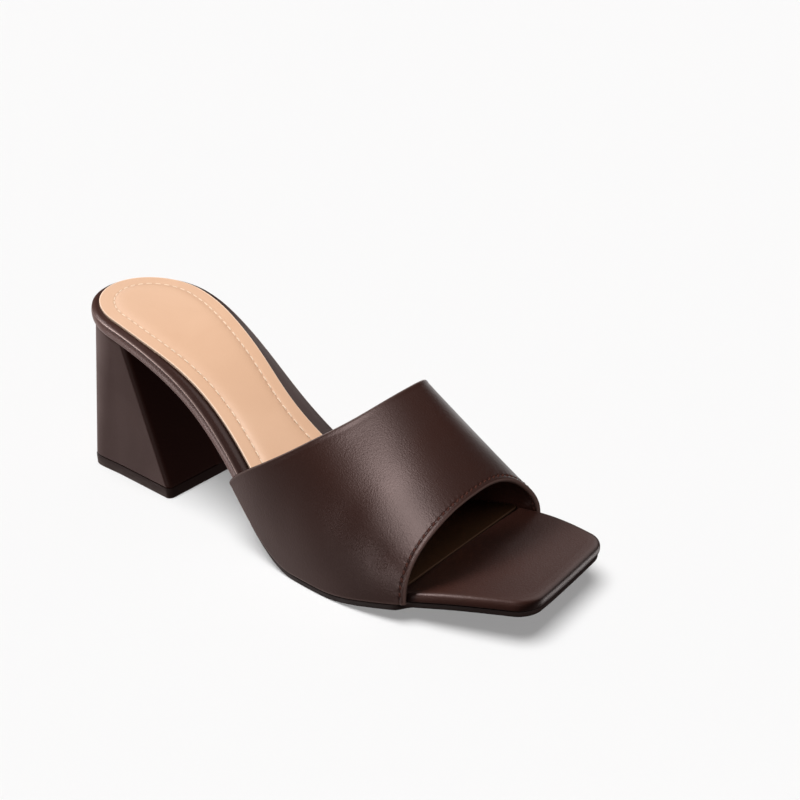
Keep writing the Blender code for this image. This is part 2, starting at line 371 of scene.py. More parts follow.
@dataclass(frozen=True)
class Leather:
    """Smooth leather: two tones, fine grain in cells, faint wrinkles, edges lighter partly by wear and partly
    by painted highlight, and painted shade in grooves.
    """

    name: str
    base: tuple[float, float, float]
    deep: tuple[float, float, float]
    wear_and_highlight: tuple[float, float, float]
    rough: float = 0.45
    grain: float = 1500.0
    grain_depth: float = 0.00003
    wrinkle: float = 600.0
    wrinkle_depth: float = 0.000022
    specular: float = 0.45
    tint: tuple[float, float, float] = (1.0, 0.79, 0.76)
    patch: float = 26.0
    patch_tone: tuple[float, float] = (0.32, 0.68)
    patch_shine: tuple[float, float] = (0.3, 0.7)
    shine_swing: tuple[float, float] = (-0.035, 0.045)
    stretch: tuple[float, float, float] = (1.0, 1.9, 1.3)
    pit: tuple[float, float] = (0.45, 0.35)
    fine: float = 1.7
    fine_shine: float = 0.05
    fine_depth: float = 0.4
    shaded: float = 0.25

    def material(self) -> bpy.types.Material:
        """Builds the node material."""
        g = Graph(self.name)
        at = g.place()
        patch = g.noise(at, self.patch, 4.0, 0.6)
        grain = g.cells(at, self.grain)
        fine = g.noise(at, self.grain * self.fine, 2.0)
        wrinkle = g.noise(g.place(self.stretch), self.wrinkle, 4.0, 0.9)
        tone = g.ranged(patch, *self.patch_tone, 0.0, 1.0)
        colour = g.blend(tone, (*self.base, 1), (*self.deep, 1))
        pits = g.ranged(grain, 0.0, *self.pit, 0.0)
        colour = g.blend(pits, colour, (*self.deep, 1))
        # Edge mark: real wear on cut edges, painted highlight on the board's shoulder line and on the vamp's
        # rolled edges and foot.
        colour = g.blend(g.mark("edge"), colour, (*self.wear_and_highlight, 1))
        # Shade mark: painted shade in grooves and stitch holes, a quarter of the deep tone.
        colour = g.blend(g.mark("shade"), colour, tuple(self.shaded * v for v in self.deep) + (1,))
        dull, duller = (self.rough + swing for swing in self.shine_swing)
        shine = g.sum((g.ranged(patch, *self.patch_shine, dull, duller), 1.0), (fine, self.fine_shine))
        g.set(Base_Color=colour, Roughness=shine, Specular_IOR_Level=self.specular,
              Specular_Tint=(*self.tint, 1))
        depth = max(self.grain_depth, self.wrinkle_depth)
        g.relief(g.sum((grain, self.grain_depth / depth), (fine, self.fine_depth * self.grain_depth / depth),
                       (wrinkle, self.wrinkle_depth / depth)), depth)
        return g.material


@dataclass(frozen=True)
class Rubber:
    """Matt moulded rubber or stacked sole: fine speckle and shallow scuffs."""

    name: str
    base: tuple[float, float, float]
    pale: tuple[float, float, float]
    rough: float = 0.6
    speckle: float = 2600.0
    speckle_share: float = 0.35
    cloud: float = 60.0
    cloud_share: float = 0.3
    scuff: float = 420.0
    scuff_stretch: tuple[float, float, float] = (0.4, 1.0, 2.2)
    scuff_shine: tuple[float, float] = (-0.06, 0.08)
    specular: float = 0.4
    depth: float = 0.00003

    def material(self) -> bpy.types.Material:
        """Builds the node material."""
        g = Graph(self.name)
        at = g.place()
        speck = g.noise(at, self.speckle, 2.0)
        scuff = g.noise(g.place(self.scuff_stretch), self.scuff, 4.0, 0.4)
        cloud = g.noise(at, self.cloud, 3.0)
        share = g.sum((g.ranged(speck, 0.45, 0.75, 0.0, 1.0), self.speckle_share),
                      (g.ranged(cloud, 0.35, 0.7, 0.0, 1.0), self.cloud_share))
        dull, duller = (self.rough + swing for swing in self.scuff_shine)
        g.set(Base_Color=g.blend(share, (*self.base, 1), (*self.pale, 1)),
              Roughness=g.ranged(scuff, 0.3, 0.7, dull, duller), Specular_IOR_Level=self.specular)
        g.relief(g.sum((speck, 0.5), (scuff, 0.5)), self.depth)
        return g.material


@dataclass(frozen=True)
class Thread:
    """Waxed sewing thread: twisted strands along the stitch."""

    name: str
    base: tuple[float, float, float]
    deep: tuple[float, float, float]
    rough: float = 0.5
    strands: float = 9.0
    fuzz: float = 5200.0
    fuzz_share: float = 0.4
    specular: float = 0.12
    depth: float = 0.00006

    def material(self) -> bpy.types.Material:
        """Builds the node material; the twist follows the stitch's own length and turn marks."""
        g = Graph(self.name)
        twist = g.sum((g.mark("along"), self.strands), (g.mark("round"), 2.0))
        ridge = g.node("ShaderNodeMath", {0: g.sum((twist, 2 * math.pi))}, operation="SINE").outputs[0]
        fuzz = g.noise(g.place(), self.fuzz, 2.0)
        share = g.sum((g.ranged(ridge, -1.0, 1.0, 0.0, 1.0), 1 - self.fuzz_share), (fuzz, self.fuzz_share))
        g.set(Base_Color=g.blend(share, (*self.deep, 1), (*self.base, 1)), Roughness=self.rough,
              Specular_IOR_Level=self.specular)
        g.relief(share, self.depth)
        return g.material


@dataclass(frozen=True)
class Paper:
    """Pale studio floor with a barely visible tooth."""

    name: str
    tone: float = 0.9
    swing: float = 0.004
    rough: float = 0.9
    tooth: float = 900.0
    depth: float = 0.00002

    def material(self) -> bpy.types.Material:
        """Builds the node material."""
        g = Graph(self.name)
        tooth = g.noise(g.place(), self.tooth, 2.0)
        low, high = self.tone - self.swing, self.tone + self.swing
        g.set(Base_Color=g.blend(tooth, (low, low, low, 1), (high, high, high, 1)), Roughness=self.rough,
              Specular_IOR_Level=0.0)
        g.relief(tooth, self.depth)
        return g.material


@dataclass(frozen=True)
class Finishes:
    """Every finish of the shoe: leathers, threads and rubbers, each colour as linear light."""

    upper: Leather = Leather(
        "vamp_leather", (0.0180, 0.0058, 0.0038), (0.0135, 0.0042, 0.0027), (0.080, 0.050, 0.043),
        rough=0.385, grain_depth=0.00004, wrinkle_depth=0.00003)
    # The cover's pale edge tone is the painted highlight of the waist's shoulder line.
    cover: Leather = Leather(
        "board_leather", (0.0310, 0.0103, 0.0070), (0.0250, 0.0082, 0.0055), (0.400, 0.290, 0.260),
        rough=0.35)
    # Brighter than the vamp's leather: partly the heel cover's own tone and partly painted light in place of
    # the key lights kept off the heel.
    block: Leather = Leather(
        "heel_leather_with_painted_light", (0.072, 0.0220, 0.0150), (0.057, 0.0165, 0.0110), (0.080, 0.032, 0.025),
        rough=0.50, specular=0.58)
    # Very dark leather of the sock's toe: its darkness is partly the leather's own and partly painted shade
    # inside the toe opening.
    inside: Leather = Leather(
        "toe_leather_dark_and_painted_shade", (0.0090, 0.0034, 0.0014), (0.0070, 0.0026, 0.0010), (0.020, 0.010, 0.006),
        rough=0.55, specular=0.25, tint=(1.0, 0.62, 0.40))
    tan: Leather = Leather(
        "sock_leather", (0.600, 0.376, 0.246), (0.560, 0.342, 0.218), (0.80, 0.60, 0.46),
        rough=0.48, grain=1700.0, grain_depth=0.000015, specular=0.45, tint=(1.0, 0.97, 0.93))
    lining: Leather = Leather(
        "lining_leather", (0.50, 0.285, 0.17), (0.44, 0.245, 0.145), (0.62, 0.40, 0.28),
        rough=0.6, grain=1700.0, grain_depth=0.00002, specular=0.3, tint=(1.0, 0.95, 0.90))
    cream: Thread = Thread("cream_thread", (0.86, 0.71, 0.56), (0.64, 0.46, 0.32))
    brown: Thread = Thread("brown_thread", (0.066, 0.0210, 0.0140), (0.020, 0.0060, 0.0040))
    sole: Rubber = Rubber("sole_rubber", (0.012, 0.005, 0.0038), (0.026, 0.012, 0.009))
    rubber: Rubber = Rubber("lift_rubber", (0.058, 0.028, 0.0225), (0.078, 0.043, 0.036))


# The last and its sections


@dataclass(frozen=True)
class Steps:
    """Number of points along each run of a half outline."""

    arc: int = 28
    side: int = 130
    corner: int = 14
    front: int = 12


@dataclass(frozen=True)
class Last:
    """The shoe's driving sizes and the surfaces that its pieces are laid on."""

    length: float = 0.240
    ball_width: float = 0.082
    seat_height: float = 0.0756
    toe_spring: float = 0.0132
    board_thickness: float = 0.0042
    outsole_waist: float = 0.0015
    outsole_forefoot: float = 0.0023
    gap: float = 0.0003
    seat_arc: float = 0.030
    toe_corner: float = 0.010
    toe_bow: float = 0.0006
    vamp_rear: float = 0.104
    slope_step: float = 0.00025
    plan: tuple[tuple[float, float, float], ...] = (
        (0.125, 0.355, 0.355), (0.217, 0.322, 0.356), (0.317, 0.274, 0.353), (0.417, 0.270, 0.383),
        (0.521, 0.372, 0.436), (0.625, 0.466, 0.471), (0.729, 0.513, 0.468), (0.833, 0.515, 0.408),
        (1.000, 0.400, 0.252))
    shank: tuple[tuple[float, float], ...] = (
        (0.000, 1.000), (0.104, 0.936), (0.208, 0.845), (0.313, 0.678), (0.417, 0.414), (0.508, 0.136),
        (0.596, 0.000))
    spring: tuple[tuple[float, float], ...] = (
        (0.660, 0.000), (0.750, 0.260), (0.813, 0.505), (0.875, 0.735), (1.000, 1.000))

    def underside(self, x: Array) -> Array:
        """Height of the outsole's underside: a spline down the shank, a flat tread, a spline to the toe."""
        x = np.asarray(x, float)
        shank, spring = np.asarray(self.shank), np.asarray(self.spring)
        down = spline(self.length * shank[:, 0], self.seat_height * shank[:, 1], x, end=0.0)
        up = spline(self.length * spring[:, 0], self.toe_spring * spring[:, 1], x, start=0.0)
        ahead = np.where(x > self.length * spring[0, 0], up, 0.0)
        return np.where(x < self.length * shank[-1, 0], down, ahead)

    def outsole_thickness(self, x: Array) -> Array:
        """Thin at the waist, thicker from the tread on."""
        grown = smoothstep(x, self.vamp_rear, self.length * self.shank[-1][0])
        return self.outsole_waist + (self.outsole_forefoot - self.outsole_waist) * grown

    def level(self, x: Array, above: Array | float | Callable[[Array], Array]) -> Array:
        """Height at x of the surface that lies `above` the underside, measured square to it.

        The foot a of the square line is found by repeating a = x + above * slope / root, where root is
        sqrt(1 + slope^2), and the height is underside(a) + above / root.

        Args:
            x: positions along the shoe.
            above: distance, a number, an array like x or a function of the foot's position.

        Returns:
            Heights like x.
        """
        x = np.asarray(x, float)
        foot = x
        for _ in range(4):
            inside = np.clip(foot, self.slope_step, self.length - self.slope_step)
            slope = (self.underside(inside + self.slope_step)
                     - self.underside(inside - self.slope_step)) / (2 * self.slope_step)
            root = np.sqrt(1 + slope ** 2)
            distance = above(foot) if callable(above) else above
            foot = np.clip(x + distance * slope / root, 0.0, self.length)
        return self.underside(foot) + distance / root

    def board_bottom(self, x: Array) -> Array:
        """Underside of the board over the underside of the outsole."""
        return self.outsole_thickness(x) + self.gap

    def board_top(self, x: Array) -> Array:
        """Top of the board over the underside of the outsole."""
        return self.board_bottom(x) + self.board_thickness

    def half_width(self, x: Array, side: Side) -> Array:
        """Half width of the board at x: a spline through the plan's shares."""
        plan = np.asarray(self.plan)
        share = plan[:, 1] if side is Side.MEDIAL else plan[:, 2]
        return spline(self.length * plan[:, 0], self.ball_width * share, x, start=0.0)

    def drawn_in(self, inset: float | Callable[[Array, Side], Array]) -> Width:
        """Half width less an inset that is measured square to the edge.

        Args:
            inset: a distance, or a function of x and side.

        Returns:
            The new half width as a function of x and side.
        """
        step = self.length / 1000

        def width(x: Array, side: Side) -> Array:
            """Half width at x, less inset * sqrt(1 + slope^2)."""
            slope = (self.half_width(x + step, side) - self.half_width(x - step, side)) / (2 * step)
            distance = inset(x, side) if callable(inset) else inset
            return self.half_width(x, side) - distance * np.sqrt(1 + slope ** 2)

        return width

    def half_outline(self, width: Width, side: Side, back: float, arc: float, front: float, corner: float,
                     squareness: float = 2.0, bow: float = 0.0, steps: Steps = Steps()) -> Array:
        """Half of a plan outline, from the middle of the back to the middle of the front.

        The back is a quarter of a superellipse `arc` long, the side follows `width` and the front corner
        is an arc of radius `corner`. The front's middle stands `bow` before its corner.

        Args:
            width: half width as a function of x and side.
            side: which half.
            back: x of the back.
            arc: x where the back's curve ends.
            front: x of the front.
            corner: radius of the front corner.
            squareness: exponent of the back's curve, 2 is an ellipse.
            bow: how far the front is bowed.
            steps: points along each run.

        Returns:
            Array (points, 2) of x and y.
        """
        turn = np.linspace(0.0, math.pi / 2, steps.arc)
        power = 2.0 / squareness
        back_x = back + (arc - back) * (1 - np.abs(np.cos(turn)) ** power)
        back_y = float(width(np.array(arc), side)) * np.sin(turn) ** power
        tip = float(width(np.array(front), side))
        reach = front - corner
        run = unit(np.array([reach - front, float(width(np.array(reach), side)) - tip]))
        angle = math.acos(-run[1])
        begin = front + run[0] * corner / math.tan(angle / 2)
        side_x = np.linspace(arc, begin, steps.side)[1:]
        side_y = width(side_x, side)
        centre = np.array([front, tip]) + unit(run + np.array([0.0, -1.0])) * corner / math.sin(angle / 2)
        first = math.atan2(side_y[-1] - centre[1], begin - centre[0])
        sweep = np.linspace(first, 0.0, steps.corner)[1:]
        x = np.concatenate([back_x, side_x, centre[0] + corner * np.cos(sweep), np.full(steps.front, front)])
        y = np.concatenate([back_y, side_y, centre[1] + corner * np.sin(sweep),
                            np.linspace(centre[1], 0.0, steps.front + 1)[1:]])
        x = x - bow * (y / tip) ** 2 * smoothstep(x, front - 2 * corner, front)
        return np.column_stack([x, side.value * y])

    def outline(self, **shape: object) -> Array:
        """Both halves of an outline as an array (2, points, 2), medial first."""
        return np.stack([self.half_outline(side=side, **shape) for side in Side])

    def board_outline(self, inset: Callable[[Array, Side], Array]) -> Array:
        """The board's outline drawn in by an inset, as an array (2, points, 2)."""
        at_back, at_front = (float(inset(np.array(x), Side.MEDIAL)) for x in (0.0, self.length))
        return self.outline(width=self.drawn_in(inset), back=at_back, arc=self.seat_arc,
                            front=self.length - at_front, corner=self.toe_corner - at_front,
                            bow=self.toe_bow)


def raised(plan: Array, height: Array) -> Array:
    """Plan points (..., 2) with their heights added as z."""
    return np.concatenate([plan, np.broadcast_to(height, plan.shape[:-1])[..., None]], -1)


def across(first: Array, second: Array, count: int) -> Array:
    """Points between two rows (stations, 2), ends left out: array (stations, count, 2)."""
    share = np.linspace(0.0, 1.0, count + 2)[1:-1][None, :, None]
    return first[:, None] * (1 - share) + second[:, None] * share


def section_form(rings: Array, bottom: Array, top: Array, cut: tuple[int, ...] = (), **marks: Array) -> Form:
    """Closed solid as a row of cross sections.

    A section runs over the bottom from the lateral to the medial side, up the medial rings, over the top
    and down the lateral rings. Its first and last sections shrink to a line, which is merged later, or are
    cut straight and closed with a cap, which needs as many columns below as above.

    Args:
        rings: array (rings, 2, stations, 3), bottom ring first.
        bottom: array (stations, columns, 3), lateral to medial.
        top: array (stations, columns, 3), medial to lateral.
        cut: stations that are cut straight.
        marks: arrays (rings, 2, stations) to keep on the points, 0 on the bottom and held over the top.

    Returns:
        The form.
    """
    medial, lateral = rings[:, 0].transpose(1, 0, 2), rings[::-1, 1].transpose(1, 0, 2)
    points = np.concatenate([bottom, medial, top, lateral], 1)
    kept = {}
    for name, mark in marks.items():
        up, down = mark[:, 0].T, mark[::-1, 1].T
        kept[name] = np.concatenate([np.zeros(bottom.shape[:2]), up,
                                     np.repeat(up[:, -1:], top.shape[1], 1), down], 1)
    form = Form.grid(points, wrap_columns=True, **kept)
    return form.capped(points.shape[1], 2 * top.shape[1] + len(rings) - 1, cut) if cut else form


def stitches(centres: Array, along: Array, up: Array, length: float, width: float, height: float) -> Form:
    """Row of stitches as one form, each a bent capsule of 9 by 8 points.

    A stitch's point is centre + along * t * length / 2 + (side * width * cos a + up * height * sin a) * r(t)
    / 2, where r(t) is sqrt(1 - t^6), less a sag of its ends into their holes.

    Args:
        centres: array (stitches, 3).
        along: unit directions of the stitches.
        up: unit normals of the surface.
        length: length of a stitch.
        width: width of the thread.
        height: thickness of the thread.

    Returns:
        The form with the marks along and round.
    """
    t = np.linspace(-1.0, 1.0, 9)[None, :, None, None]
    a = np.linspace(0.0, 2 * math.pi, 9)[None, None, :-1, None]
    fat = np.sqrt(np.clip(1 - np.abs(t) ** 6, 0.0, 1.0))
    side = unit(np.cross(along, up))[:, None, None]
    forward, out = along[:, None, None], up[:, None, None]
    points = (centres[:, None, None] + forward * t * length / 2
              + (side * width * np.cos(a) + out * height * np.sin(a)) * fat / 2 - out * height * 0.9 * t ** 4)
    count, rows, columns = points.shape[:3]
    one = Form.grid(np.zeros((rows, columns, 3)), wrap_columns=True)
    faces = (one.faces[None] + (np.arange(count) * rows * columns)[:, None, None]).reshape(-1, 4)
    share = np.broadcast_to(t[..., 0] / 2 + 0.5, (count, rows, columns))
    turn = np.broadcast_to(a[..., 0] / (2 * math.pi), (count, rows, columns))
    return Form(points.reshape(-1, 3), faces, {"along": share.reshape(-1), "round": turn.reshape(-1)})


def spaced(path: Array, pitch: float) -> tuple[Array, Array]:
    """Even places along a path, and the path's direction there.

    Args:
        path: array (points, 3).
        pitch: wanted distance, rounded so that a whole number fits.

    Returns:
        Places and unit directions, both (count, 3).
    """
    run = run_length(path)
    count = max(2, round(run[-1] / pitch))
    at = (np.arange(count) + 0.5) * run[-1] / count
    step = pitch * 0.2
    place = np.stack([np.interp(at, run, path[:, k]) for k in range(3)], -1)
    ahead = np.stack([np.interp(at + step, run, path[:, k]) for k in range(3)], -1)
    behind = np.stack([np.interp(at - step, run, path[:, k]) for k in range(3)], -1)
    return place, unit(ahead - behind)


# Pieces of the shoe


@dataclass(frozen=True)
class Swell:
    """Soft bump of a value along a distance: where it lies, its width and height; a groove is below 0."""

    at: float
    width: float
    height: float

    def over(self, distance: Array) -> Array:
        """Its height at a distance: height * bell."""
        return self.height * bell(distance, self.at, self.width)


@dataclass(frozen=True)
class Crease:
    """Soft trough in the vamp. A ridge has a negative depth."""

    x: float
    turn: float
    length: float
    width: float
    lean: float
    depth: float


@dataclass
class Board:
    """Covered board whose cover wraps down over the thin outsole's edge from the heel to the vamp.

    Its edge is a round bead at the heel, has a crisp shoulder at the waist and is broad and round at the toe.
    A profile point is the inset from the outline and the height over the board's underside, in millimetres.
    """

    last: Last
    waist: tuple[tuple[float, float], ...] = (
        (1.60, 0.00), (1.57, -1.05), (1.28, -1.50), (0.82, -1.60), (0.40, -1.42), (0.12, -0.95),
        (0.00, -0.25), (0.00, 0.45), (0.07, 1.10), (0.22, 1.70), (0.42, 2.25), (0.54, 2.62), (0.50, 2.86),
        (0.36, 3.02), (0.28, 3.16), (0.34, 3.28), (0.58, 3.385), (1.10, 3.515), (1.70, 3.665), (2.40, 3.84),
        (3.20, 4.04))
    heel: tuple[tuple[float, float], ...] = (
        (1.60, 0.00), (1.57, -1.00), (1.35, -1.42), (1.00, -1.52), (0.66, -1.34), (0.38, -0.90),
        (0.17, -0.25), (0.05, 0.50), (0.00, 1.30), (0.05, 2.10), (0.27, 2.85), (0.75, 3.52), (1.45, 3.95),
        (2.30, 4.16), (3.20, 4.20))
    toe: tuple[tuple[float, float], ...] = (
        (1.60, 0.00), (1.25, 0.00), (0.90, 0.02), (0.48, 0.12), (0.19, 0.38), (0.05, 0.85), (0.00, 1.50),
        (0.03, 2.10), (0.16, 2.70), (0.44, 3.28), (0.90, 3.74), (1.54, 4.02), (2.40, 4.15), (3.50, 4.20),
        (4.60, 4.24))
    heel_end: tuple[float, float] = (0.016, 0.042)
    toe_start: tuple[float, float] = (0.150, 0.196)
    wrap_end: tuple[float, float] = (0.104, 0.116)
    edge_points: int = 56
    crown: float = 0.0005
    crown_fade: tuple[float, float] = (0.0046, 0.026)
    # line: painted highlight along the waist's crisp shoulder; groove: painted shade in the groove below it.
    line: Swell = Swell(3.17, 0.20, 1.0)
    groove: Swell = Swell(2.52, 0.30, 0.9)
    under_columns: int = 6
    top_columns: int = 36

    def profile(self, x: Array, k: int) -> tuple[Array, Array]:
        """Inset and height of edge point k at x: the three profiles mixed by two smooth steps along x."""
        tables = [profile_table(rows, self.edge_points)[k] * MM for rows in (self.heel, self.waist, self.toe)]
        waist, toe = smoothstep(x, *self.heel_end), smoothstep(x, *self.toe_start)
        mixed = [tables[0][j] * (1 - waist) + tables[1][j] * waist * (1 - toe) + tables[2][j] * toe
                 for j in (0, 1)]
        wrapped = np.minimum(mixed[1], 0.0) * (1 - smoothstep(x, *self.wrap_end))
        return mixed[0], np.maximum(mixed[1], 0.0) + wrapped

    def top(self, x: Array, y: Array) -> Array:
        """Height over the board's underside on its top: the edge's height and a soft crown at the toe.

        The crown is crown * (1 - (y / half width)^2), faded in behind the toe's edge and out at the waist.
        """
        half = np.where(y > 0, self.last.half_width(x, Side.MEDIAL), self.last.half_width(x, Side.LATERAL))
        bulge = np.clip(1 - (y / (half - self.crown_fade[0])) ** 2, 0.0, 1.0)
        near = smoothstep(self.last.length - x, *self.crown_fade) * smoothstep(x, *self.toe_start)
        return self.profile(x, self.edge_points - 1)[1] + self.crown * bulge * near

    def build(self, bench: Bench, material: bpy.types.Material) -> None:
        """Builds the board: rings at level(x, bottom + height) on the outline drawn in by the inset.

        The marks for the painted highlight along the waist's shoulder line and the painted shade in the
        groove under it are bells over the waist profile's height in millimetres.
        """
        last, rings = self.last, []
        for k in range(self.edge_points):
            plan = last.board_outline(lambda x, side, k=k: self.profile(x, k)[0])
            rise = self.profile(plan[..., 0], k)[1]
            rings.append(raised(plan, last.level(plan[..., 0], last.board_bottom(plan[..., 0]) + rise)))
        stack = np.stack(rings)
        under = across(stack[0, 1, :, :2], stack[0, 0, :, :2], self.under_columns)
        under = raised(under, last.level(under[..., 0], last.board_bottom(under[..., 0])))
        over = across(stack[-1, 0, :, :2], stack[-1, 1, :, :2], self.top_columns)
        lift = self.top(over[..., 0], over[..., 1])
        over = raised(over, last.level(over[..., 0], last.board_bottom(over[..., 0]) + lift))
        rise = profile_table(self.waist, self.edge_points)[:, 1][:, None, None]
        x = stack[..., 0]
        there = smoothstep(x, *self.heel_end) * (1 - smoothstep(x, *self.toe_start))
        # Painted highlight on the shoulder line, painted shade in the groove.
        edge, shade = (mark.over(rise) * there for mark in (self.line, self.groove))
        form = section_form(stack, under, over, edge=edge, shade=shade)
        bench.piece("board_covered", form, material, Slot.BOARD, "insole_board")


@dataclass
class Outsole:
    """Thin outsole: tucked behind the board's wrapped edge, then out under the feet of the vamp."""

    last: Last
    tucked: float = 0.00168
    inset: float = 0.0006
    flange: float = 0.0023
    fade_in: tuple[float, float] = (0.105, 0.119)
    fade_out: tuple[float, float] = (-0.0045, 0.0010)
    front: dict[Side, float] = field(default_factory=lambda: {Side.MEDIAL: 0.2040, Side.LATERAL: 0.1958})
    edge: tuple[tuple[float, float], ...] = (
        (0.45, 0.00), (0.20, 0.06), (0.05, 0.22), (0.00, 0.45), (0.00, 0.75), (0.05, 0.94), (0.22, 1.00))
    wear_and_highlight: Swell = Swell(0.80, 0.14, 0.7)

    def edge_inset(self, x: Array, side: Side) -> Array:
        """Inset from the board's edge, by smooth steps along x: tucked, out by the flange, then the toe's."""
        behind = smoothstep(x, *self.fade_in)
        ahead = smoothstep(x, self.front[side] + self.fade_out[0], self.front[side] + self.fade_out[1])
        return self.tucked * (1 - behind) - self.flange * behind * (1 - ahead) + self.inset * ahead

    def build(self, bench: Bench, material: bpy.types.Material) -> None:
        """Builds the outsole: rings at share * thickness on the outline drawn in by the rounded edge."""
        last = self.last
        rings = []
        for inset, share in profile_table(self.edge, 12):
            plan = last.board_outline(lambda x, side, more=inset * MM: self.edge_inset(x, side) + more)
            rings.append(raised(plan, last.level(plan[..., 0], share * last.outsole_thickness(plan[..., 0]))))
        stack = np.stack(rings)
        under = across(stack[0, 1, :, :2], stack[0, 0, :, :2], 24)
        under = raised(under, last.level(under[..., 0], 0.0))
        over = across(stack[-1, 0, :, :2], stack[-1, 1, :, :2], 10)
        over = raised(over, last.level(over[..., 0], last.outsole_thickness(over[..., 0])))
        rise = np.linspace(0.0, 1.0, len(stack))[:, None, None] * np.ones(stack.shape[:3])
        bench.piece("outsole_thin", section_form(stack, under, over, edge=self.wear_and_highlight.over(rise)),
                    material, Slot.OUTSOLE, "outsole")


@dataclass
class Sock:
    """Sock over a thin pad with a stitched groove along its edge: tan leather, dark under the toe opening,
    the dark partly the leather's own tone and partly painted shade.
    """

    last: Last
    toe_side_margin: float = 0.0014
    toe_lean: float = 0.033
    lean_from: float = 0.03
    margin_at: tuple[float, ...] = (0.018, 0.032, 0.046, 0.062, 0.078, 0.096, 0.120)
    side_margin: dict[Side, tuple[float, ...]] = field(default_factory=lambda: {
        Side.MEDIAL: (4.5, 4.2, 4.1, 4.7, 6.0, 8.4, 8.6),
        Side.LATERAL: (4.6, 3.7, 3.5, 4.5, 5.6, 6.2, 6.2)})
    back_margin: float = 0.0036
    front: float = 0.1945
    corner: float = 0.003
    least_corner: float = 0.0006
    groove_at: float = 0.0064
    pitch: float = 0.0039
    pucker: Swell = Swell(0.0072, 0.0011, 0.00005)
    groove_shade: Swell = Swell(0.0064, 0.00040, 0.18)
    cut_rows: tuple[int, int] = (1, 6)
    cut_edge: float = 0.8
    dish: float = 0.0005
    dish_at: float = 0.036
    dish_half: tuple[float, float] = (0.024, 0.020)
    padded_over: float = 0.0012
    thread_over: float = 0.00122
    slope_over: float = 0.007
    thread: tuple[float, float, float] = (0.0031, 0.00060, 0.00050)
    join: float = 0.158
    columns: int = 40
    steps: Steps = Steps(arc=70, side=300, corner=10, front=40)
    toe_profile: tuple[tuple[float, float], ...] = (
        (0.06, 0.05), (0.00, 0.15), (0.00, 0.60), (0.03, 0.82), (0.12, 0.97), (0.30, 1.06), (0.60, 1.10),
        (1.50, 1.14), (3.00, 1.18), (5.00, 1.26), (7.50, 1.34), (10.00, 1.38))
    profile: tuple[tuple[float, float], ...] = (
        (0.06, 0.05), (0.00, 0.20), (0.00, 0.80), (0.03, 1.02), (0.12, 1.16), (0.30, 1.23), (0.60, 1.25),
        (1.50, 1.27), (3.00, 1.29), (4.60, 1.29), (5.40, 1.26), (5.85, 1.17), (6.12, 1.06), (6.40, 1.00),
        (6.66, 1.07), (6.92, 1.22), (7.30, 1.41), (7.90, 1.62), (8.80, 1.80), (10.00, 1.93), (11.00, 1.98),
        (12.00, 2.00))

    def ring(self, inset: float, ahead: bool = False) -> Array:
        """Plan of the line that lies `inset` inside the sock's edge, as an array (2, points, 2)."""
        def margin(x: Array, side: Side) -> Array:
            """Distance from the board's edge: a spline through the side's margins, or the toe's own."""
            behind = spline(self.margin_at, np.asarray(self.side_margin[side]) * MM, x)
            return inset + (self.toe_side_margin if ahead else behind)

        ring = self.last.outline(
            width=self.last.drawn_in(margin),
            back=self.back_margin + inset, arc=self.last.seat_arc, front=self.front - inset,
            corner=max(self.corner - inset, self.least_corner), steps=self.steps)
        if ahead:
            near = smoothstep(ring[..., 0], self.join, self.front)
            ring[..., 0] += self.toe_lean * (ring[..., 1] - self.lean_from) * near
        return ring

    def cut_ring(self, ring: Array, ahead: bool) -> Array:
        """The part of a ring behind or ahead of the join, with its points spread evenly over it again."""
        parts = []
        for half in ring:
            run = run_length(half)
            joint = float(np.interp(self.join, half[:, 0], run))
            share = run / run[-1]
            at = joint + share * (run[-1] - joint) if ahead else share * joint
            parts.append(np.column_stack([np.interp(at, run, half[:, k]) for k in (0, 1)]))
        return np.stack(parts)

    def height(self, plan: Array, over: Array | float) -> Array:
        """Height of the surface `over` the board's top, with a soft dish under the heel."""
        x, y = plan[..., 0], plan[..., 1]
        dish = self.dish * bell(x, self.dish_at, self.dish_half[0]) * bell(y, 0.0, self.dish_half[1])
        dish = dish * (np.asarray(over) > self.padded_over)
        return self.last.level(x, self.last.board_top(x) + over - dish)

    def part(self, ahead: bool) -> Form:
        """Rings by inset and a strip between them, for the part behind or ahead of the join."""
        rings, lines = [], []
        profile = self.toe_profile if ahead else self.profile
        for inset, over in profile:
            whole = self.ring(inset * MM, ahead)
            plan = self.cut_ring(whole, ahead)
            wave = np.cos(2 * math.pi * np.stack([run_length(half) for half in plan]) / self.pitch)
            pucker = wave * self.pucker.over(inset * MM)
            rings.append(raised(plan, self.height(plan, over * MM + pucker * (not ahead))))
            lines.append(np.full(plan.shape[:2], float(self.groove_shade.over(inset * MM)) * (not ahead)))
        stack = np.stack(rings)
        under = across(stack[0, 1, :, :2], stack[0, 0, :, :2], self.columns)
        under = raised(under, self.height(under, profile[0][1] * MM))
        over = across(stack[-1, 0, :, :2], stack[-1, 1, :, :2], self.columns)
        over = raised(over, self.height(over, profile[-1][1] * MM))
        groove = np.stack(lines)
        cut = np.zeros_like(groove)
        cut[slice(*self.cut_rows)] = self.cut_edge
        return section_form(stack, under, over, (0,) if ahead else (stack.shape[2] - 1,),
                            shade=groove, edge=cut)

